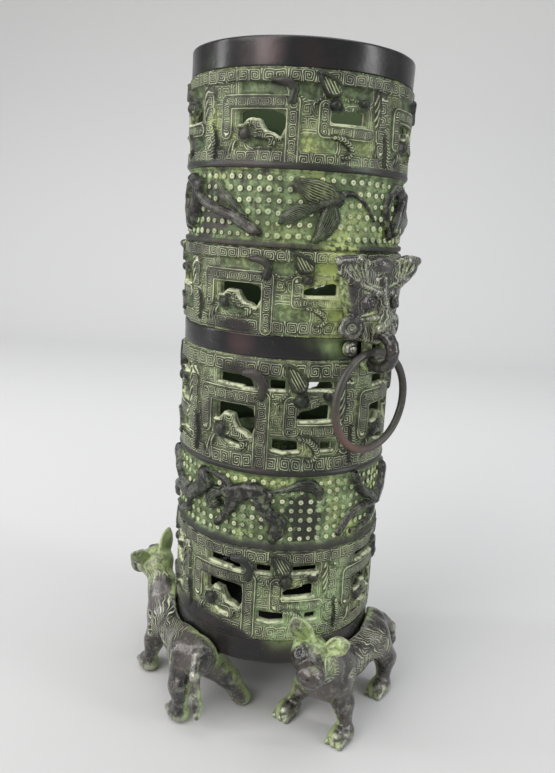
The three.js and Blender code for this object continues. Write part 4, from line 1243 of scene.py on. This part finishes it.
def beastReadings(skin, quads):
    x, y, z = skin.T
    depth, normal = hollowsOf(skin, quads)
    flank = smooth(z, -16, -8) * smooth(x, 48, 53) * (1 - smooth(np.abs(y - 1), 14, 20))
    neckHair = smooth(-y, 24, 28) * (1 - smooth(-y, 34, 38)) * smooth(z, -2, 4) * (1 - smooth(z, 14, 17))
    snoutDark = smooth(-y, 45, 48)
    inward = smooth(-normal[:, 0], -0.15, 0.6)
    nearTube = 1 - smooth(np.hypot(x, y) - beast["seat"], 0.6, 5)
    green = 1.3 * inward * smooth(-z, 6, 12) + 0.8 * inward * smooth(z, 0, 6)
    green += 0.75 * smooth(-y, 24, 31) * (1 - smooth(-y, 40, 46)) * smooth(z, 0, 6)
    green += 0.4 * smooth(-z, 27, 31)
    green = np.maximum(green, 1.2 * nearTube * smooth(z, -12, -6) * smooth(np.abs(y), 10, 18))
    green += 0.45 * smooth(z, 18.5, 21) * smooth(-y, 34, 38)  # forehead
    hollow = np.clip(depth / 0.055, -1, 1) * (1 - 0.45 * smooth(z, 16, 20)) * (1 - 0.75 * snoutDark)
    return {"hollow": hollow, "cut": np.maximum(flank, 0.8 * neckHair), "strand": (0.7 * z + 0.5 * y) / 1.15,
            "bloom": green * (1 - snoutDark)}


skin, quads = beastSkin()
skin = eased(skin, quads, 2)
skin[:, 2] = np.maximum(skin[:, 2], beast["ground"])
readings = beastReadings(skin, quads)
print("beast", len(quads), skin.min(0), skin.max(0))
for k, angle in enumerate(beast["angles"]):
    node = f"carrying_beast_{k + 1}"
    makePiece(node + "_cast", node, turnedBy(skin, angle), quads.tolist(), beastMetal, readings)
print("beasts made")


mask = {"foot": 151.45, "height": 37.7, "pitch": 0.42, "clear": 50.2, "rounding": 1.5}
maskHalf = [(0, 0.92), (6, 0.93), (11, 0.86), (17, 0.74), (16, 0.56), (14.4, 0.42), (12.8, 0.3), (11, 0.16),
            (7, 0.04), (0, 0)]  # the right half's outline: mm from the middle, share of the height
loop = {"x": 58.5, "z": 149.13, "radius": 7.3, "stock": 2.8, "bore": 4.5, "pitch": 0.36,
        "start": 118, "sweep": 268, "steps": 12, "taper": 0.28}
ring = {"x": 56.0, "hinge": 148.25, "outer": 46.8, "wire": 3.4, "corners": 120, "wireCorners": 20,
        "unevenness": 0.25, "ripples": 120, "redAt": -40, "redSpread": 34}


def offTube(x, y, z):  # keeps a casting clear of the wall behind it
    return mask["clear"] - np.sqrt(x * x + y * y) + 0 * z


def maskSkin():
    z0, h, rounding = mask["foot"], mask["height"], mask["rounding"]
    clay = Clay((46, -28.5, z0 - 7), (64, 28.5, z0 + h + 1), mask["pitch"])
    outline = [(y, z0 + v * h) for y, v in maskHalf] + [(-y, z0 + v * h) for y, v in maskHalf[-2:0:-1]]

    def slab(x, y, z):
        flat = outlineField(y + 0 * z, z + 0 * y, outline) + rounding
        deep = np.maximum(x - (57.3 - 2.2 * (y / 13) ** 2) + rounding, 44 - x)
        corner = np.sqrt(np.maximum(flat, 0) ** 2 + np.maximum(deep, 0) ** 2)
        return np.minimum(np.maximum(flat, deep), 0) + corner - rounding
    clay.join((slab, np.array([44, -16, z0]), np.array([60, 16, z0 + h])))
    for side in (-1, 1):
        def at(x, aside, share, above=0.0):
            return x, side * aside, z0 + share * h + above

        ear = [(*at(54.8, 10.5, 0.72), 4.6), (*at(55, 15, 0.83), 5.4), (*at(54.2, 20, 0.87), 4.7)]
        for distance, low, high in chain(ear):
            def squeezed(x, y, z, distance=distance):
                return distance(54.4 + (x - 54.4) * 1.9, y, z) / 1.4
            clay.join((squeezed, low, high), 2)
        clay.join(limb(at(56, 9, 0.91), at(56.4, 15.5, 0.95), 1.5, 1.8), 1.2)
        clay.join(limb(at(56.4, 15.5, 0.95), at(54.6, 24.5, 0.935), 1.8, 1.9), 1.2)
        for k in range(5):  # flutes that fan out along the ear
            foot, tip = at(57.6, 9.5 + 1.8 * k, 0.72 + 0.01 * k), at(57.0, 11 + 3 * k, 0.93 - 0.015 * k)
            clay.cut(limb(foot, tip, 0.7, 0.9), 0.4)
        clay.join(limb(at(58.6, 3.6, 0.6), at(56.8, 12.5, 0.68), 1.6, 1.2), 1.0)  # brow
        clay.join(egg(at(57, 7.6, 0.5), (2.6, 4.6, 3.6), (0.3, side, 0.4)), 2.2)  # eye
        clay.cut(egg(at(60.4, 7.6, 0.5), (2.8, 2.7, 2.5)), 0.6)
        clay.join(egg(at(57.6, 7.6, 0.5), (1.6, 1.7, 1.7)), 0.2)
        clay.join(hoop(at(53.2, 13.4, 0.2), (1, side * 0.5, 0), 3.4, 1.9), 1.0)  # curl of the jaw
        clay.join(egg(at(53.6, 13.4, 0.2), (1.7, 1.6, 1.6)), 0.5)
        clay.join(egg(at(51.2, 10.8, 0, -1.8), (3, 3.2, 3.2)), 0.8)  # boss on the wall
        clay.cut(hoop(at(53.6, 11.1, 0, -1.8), (1, side * 0.2, 0), 1.9, 0.45), 0.2)
        clay.join(limb(at(58.4, 4.2, 0.32), at(56.6, 10, 0.3), 1.5, 1.0), 0.9)
        for size in (1.5, 3.0):
            clay.cut(hoop(at(58, 4.4, 0.79), (1, 0, 0), size, 0.5), 0.3)
        for k in range(3):  # creases of the cheek
            foot, tip = at(58, 12.4 - 0.7 * k, 0.6 - 0.05 * k), at(57, 13.6 - 0.5 * k, 0.4 - 0.02 * k)
            clay.cut(limb(foot, tip, 0.45, 0.4), 0.3)
        clay.join(egg(at(60.2, 3.2, 0.2), (2.2, 1.9, 1.9)), 1.0)
    clay.join(egg(at(55.4, 0, 0.9), (3.6, 6.5, 3.4)), 1.5)
    clay.join(limb(at(56.8, 0, 0.74), at(59.2, 0, 0.2), 2.2, 3.4), 1.8)  # nose
    for share in (0.42, 0.5, 0.58, 0.66):
        clay.cut(limb(at(60.4, -1.6, share), at(60.4, 1.6, share), 0.4, 0.4), 0.3)
    clay.trim(offTube)
    return sheetFrom(clay)


def loopSkin():
    x0, z0 = loop["x"], loop["z"]
    clay = Clay((46, -5, z0 - 13), (70, 5, z0 + 13), loop["pitch"])
    points = []
    for share in np.arange(loop["steps"] + 1) / loop["steps"]:
        a = math.radians(loop["start"] - loop["sweep"] * share)
        points.append((x0 + loop["radius"] * math.cos(a), 0, z0 + loop["radius"] * math.sin(a),
                       loop["stock"] * (1.08 - loop["taper"] * share)))
    clay.joinAll(chain(points), 0.5)
    clay.trim(lambda x, y, z: loop["bore"] - np.sqrt((x - x0) ** 2 + (z - z0) ** 2) + 0 * y)
    clay.join(hoop((54, 0, z0 - 6.4), (0, 1, 0), 2.3, 1.3), 0.5)  # inner curl
    clay.join(limb((50.4, 0, z0 + 3), (50.4, 0, z0 - 7), 2.9, 2.7), 0.5)  # web to the wall
    clay.trim(offTube)
    return sheetFrom(clay)


def maskReadings(skin, quads):
    x, y, z = skin.T
    aside, share = np.abs(y), (z - mask["foot"]) / mask["height"]
    depth, _ = hollowsOf(skin, quads)
    eyeAway = np.hypot(aside - 7.8, z - mask["foot"] - 0.5 * mask["height"])
    eyeDark = (1 - smooth(eyeAway, 2.6, 3.4)) * smooth(x, 54, 56)
    outerCurl = smooth(aside, 8.6, 9.6) * (1 - smooth(share, 0.34, 0.4)) * smooth(x, 50.6, 51.6)
    # painted highlight: a pale patch of patina colour along the nose bridge
    paintedBridgeHighlight = np.exp(-((share - 0.27) / 0.09) ** 2) * (1 - smooth(aside, 5, 8))
    crest = np.exp(-(y / 6) ** 2) * smooth(share, 0.8, 0.88)
    cut = (0.8 + 0.2 * smooth(share, 0.55, 0.75)) * (1 - crest) * (1 - eyeDark) * (1 - outerCurl)
    bloom = 0.8 * smooth(-x, -54.5, -52.5) * (1 - outerCurl) + 0.3 * (1 - smooth(share, 0.0, 0.2))
    bloom += 0.45 * paintedBridgeHighlight - 0.5 * crest - 1.2 * eyeDark - 0.4 * outerCurl
    return {"hollow": np.clip(depth / 0.045, -1, 1) * (1 - eyeDark), "cut": cut, "strand": y / 1.5, "bloom": bloom}


def loopReadings(skin, quads):
    x, _, z = skin.T
    depth, _ = hollowsOf(skin, quads)
    away = np.hypot(x - loop["x"], z - loop["z"])
    bloom = np.maximum(0.6 * (1 - smooth(away, 4.6, 6.0)) - 0.1, 0.9 * smooth(-x, -54.5, -53.5))
    return {"hollow": np.clip(depth / 0.05, -1, 1) * 0.4, "cut": 0 * depth, "strand": 0 * depth, "bloom": bloom}


castings = {}
for name, (skin, quads), rounds, readingsOf in (("mask", maskSkin(), 1, maskReadings),
                                                ("nose_loop", loopSkin(), 2, loopReadings)):
    skin = eased(skin, quads, rounds)
    castings[name] = skin, quads.tolist(), readingsOf(skin, quads)
    print(name, len(quads), skin.min(0), skin.max(0))
for side, turn in (("right", 0), ("left", 180)):
    for name, (skin, faces, readings) in castings.items():
        makePiece(f"{name}_{side}_cast", f"{name}_{side}", turnedBy(skin, turn), faces, maskMetal,
                  readings)


def ringTree():  # a wire bent into a closed ring, slightly uneven
    tree, sockets, given = newGroup("wireRing", {
        "Ring Radius": "Float", "Wire Radius": "Float", "Unevenness": "Float"})
    circle, section = (
        tree.node("GeometryNodeCurvePrimitiveCircle", {"Resolution": corners, "Radius": given[key]})
        for key, corners in (("Ring Radius", ring["corners"]), ("Wire Radius", ring["wireCorners"])))
    wire = tree.node("GeometryNodeCurveToMesh", {0: circle, 1: section})
    uneven = tree.node("ShaderNodeTexNoise", {"Scale": ring["ripples"]}, "Color")
    centred = tree.node("ShaderNodeVectorMath", {0: uneven, 1: (0.5, 0.5, 0.5)}, operation="SUBTRACT")
    scaled = tree.node("ShaderNodeVectorMath", {0: centred, "Scale": given["Unevenness"]}, operation="SCALE")
    shifted = tree.node("GeometryNodeSetPosition", {"Geometry": wire, "Offset": scaled})
    closeGroup(tree, tree.node("GeometryNodeSetShadeSmooth", {0: shifted}), ringMetal)
    return tree, sockets


tree, sockets = ringTree()
ringRadius = (ring["outer"] - ring["wire"]) / 2
for side, way in (("right", 1), ("left", -1)):
    wire, places = grown(f"ring_{side}_wire", tree, sockets, {
        "Ring Radius": ringRadius * mm, "Wire Radius": ring["wire"] / 2 * mm,
        "Unevenness": ring["unevenness"] * mm})
    turn = np.degrees(np.arctan2(places[:, 1], places[:, 0]))
    setReadings(wire.data, {"bloom": np.exp(-((turn - ring["redAt"]) / ring["redSpread"]) ** 2)})
    wire.data.transform(Matrix.Rotation(math.pi / 2, 4, "Y"))
    wire.data.transform(Matrix.Translation((way * ring["x"] * mm, 0, (ring["hinge"] - ringRadius) * mm)))
    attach(wire, f"{side}_ring")
    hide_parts(f"ring_{side}")
print("masks, loops and rings made")


sweepShape = {"front": -1.4, "bendStart": 0.9, "bend": 0.5, "top": 2.2, "halfWidth": 5}  # metres


def makeSweep():  # floor that curves up into a backdrop behind the vessel, with painted light: the floor darker near the front, the wall darker at the left
    c, s = math.cos(math.radians(cameraTurn)), math.sin(math.radians(cameraTurn))
    start, bend, wide = sweepShape["bendStart"], sweepShape["bend"], sweepShape["halfWidth"]
    profile = [(sweepShape["front"], 0.0)]
    profile += [(start + bend * math.sin(a), bend - bend * math.cos(a)) for a in np.linspace(0, math.pi / 2, 24)]
    profile += [(start + bend, sweepShape["top"])]
    places = [(x * c - y * s, x * s + y * c, z + beast["ground"] * mm) for x in (-wide, wide) for y, z in profile]
    n = len(profile)
    mesh = newMesh("sweep", places, [[k, n + k, n + k + 1, k + 1] for k in range(n - 1)])
    material, tree = newMaterial("paperSweepPaintedLight")
    x, y, z = tree.split(tree.place())
    far, beside = y * c - x * s, x * c + y * s
    # painted light: the floor brightens further back, the wall towards the right
    floorPaintedLight = tree.mix(far.ramp(-0.25, 0.6), (0.53, 0.53, 0.53), (0.70, 0.70, 0.70))
    wallPaintedLight = tree.mix(beside.ramp(-0.5, 0.8), (0.52, 0.515, 0.505), (0.62, 0.62, 0.605))
    mesh.materials.append(finished(material, tree, {
        "Base Color": tree.mix(z.ramp(0.0, 1.0), floorPaintedLight, wallPaintedLight), "Roughness": 0.9, "Specular IOR Level": 0.1}))
    newObject("sweep", mesh)


def makeLamp(name, place, aim, size, power, colour=(1, 1, 1)):
    lamp = bpy.data.lights.new(name, "AREA")
    lamp.shape = "RECTANGLE"
    lamp.size, lamp.size_y = size
    lamp.energy = power
    lamp.color = colour
    turn = Matrix.Rotation(math.radians(cameraTurn), 4, "Z")
    holder = newObject(name, lamp)
    holder.location = turn @ Vector(place)
    holder.rotation_euler = (turn @ Vector(aim) - holder.location).to_track_quat("-Z", "Y").to_euler()


makeSweep()
makeLamp("keyWindow", (-0.8, -0.75, 1.0), (0, 0, 0.12), (1.1, 1.0), 11.5, (1.0, 0.985, 0.97))
makeLamp("leftStrip", (-1.1, -0.02, 0.45), (0, 0, 0.15), (0.12, 0.8), 3.6)
makeLamp("rightStrip", (1.0, -0.38, 0.45), (0, 0, 0.15), (0.2, 0.8), 4.5)
makeLamp("frontWarm", (-0.62, -0.75, 0.4), (0, 0, 0.2), (0.3, 0.35), 1.6, (1.0, 0.86, 0.84))
makeLamp("topSoft", (0.1, 0.0, 1.5), (0, 0, 0.1), (1.2, 1.2), 9.5)
world = bpy.data.worlds.new("softRoom")
world.use_nodes = True
room = world.node_tree.nodes["Background"].inputs
room["Color"].default_value = (0.95, 0.97, 1.0, 1)
room["Strength"].default_value = 0.51
bpy.context.scene.world = world

shot = {"away": 0.34755, "height": 0.2021, "yaw": -0.0098, "pitch": math.radians(13.15), "roll": 0.058, "lens": 22.49}


def makeCamera():
    p, w, roll = shot["pitch"], shot["yaw"], shot["roll"]
    level = np.array([math.cos(w), -math.sin(w), 0])
    ahead = np.array([math.cos(p) * math.sin(w), math.cos(p) * math.cos(w), -math.sin(p)])
    rise = np.array([math.sin(p) * math.sin(w), math.sin(p) * math.cos(w), math.cos(p)])
    right = math.cos(roll) * level + math.sin(roll) * rise
    up = math.cos(roll) * rise - math.sin(roll) * level
    lens = bpy.data.cameras.new("camera")
    lens.sensor_fit = "VERTICAL"
    lens.sensor_height = 24
    lens.lens = shot["lens"]
    lens.clip_start = 0.01
    camera = newObject("camera", lens)
    place = np.eye(4)
    place[:3] = np.stack([right, up, -ahead, (0, -shot["away"], shot["height"])], -1)
    camera.matrix_world = Matrix.Rotation(math.radians(cameraTurn), 4, "Z") @ Matrix(place.tolist())
    bpy.context.scene.camera = camera


makeCamera()
bpy.context.scene.view_settings.view_transform = "Standard"
bpy.context.view_layer.update()
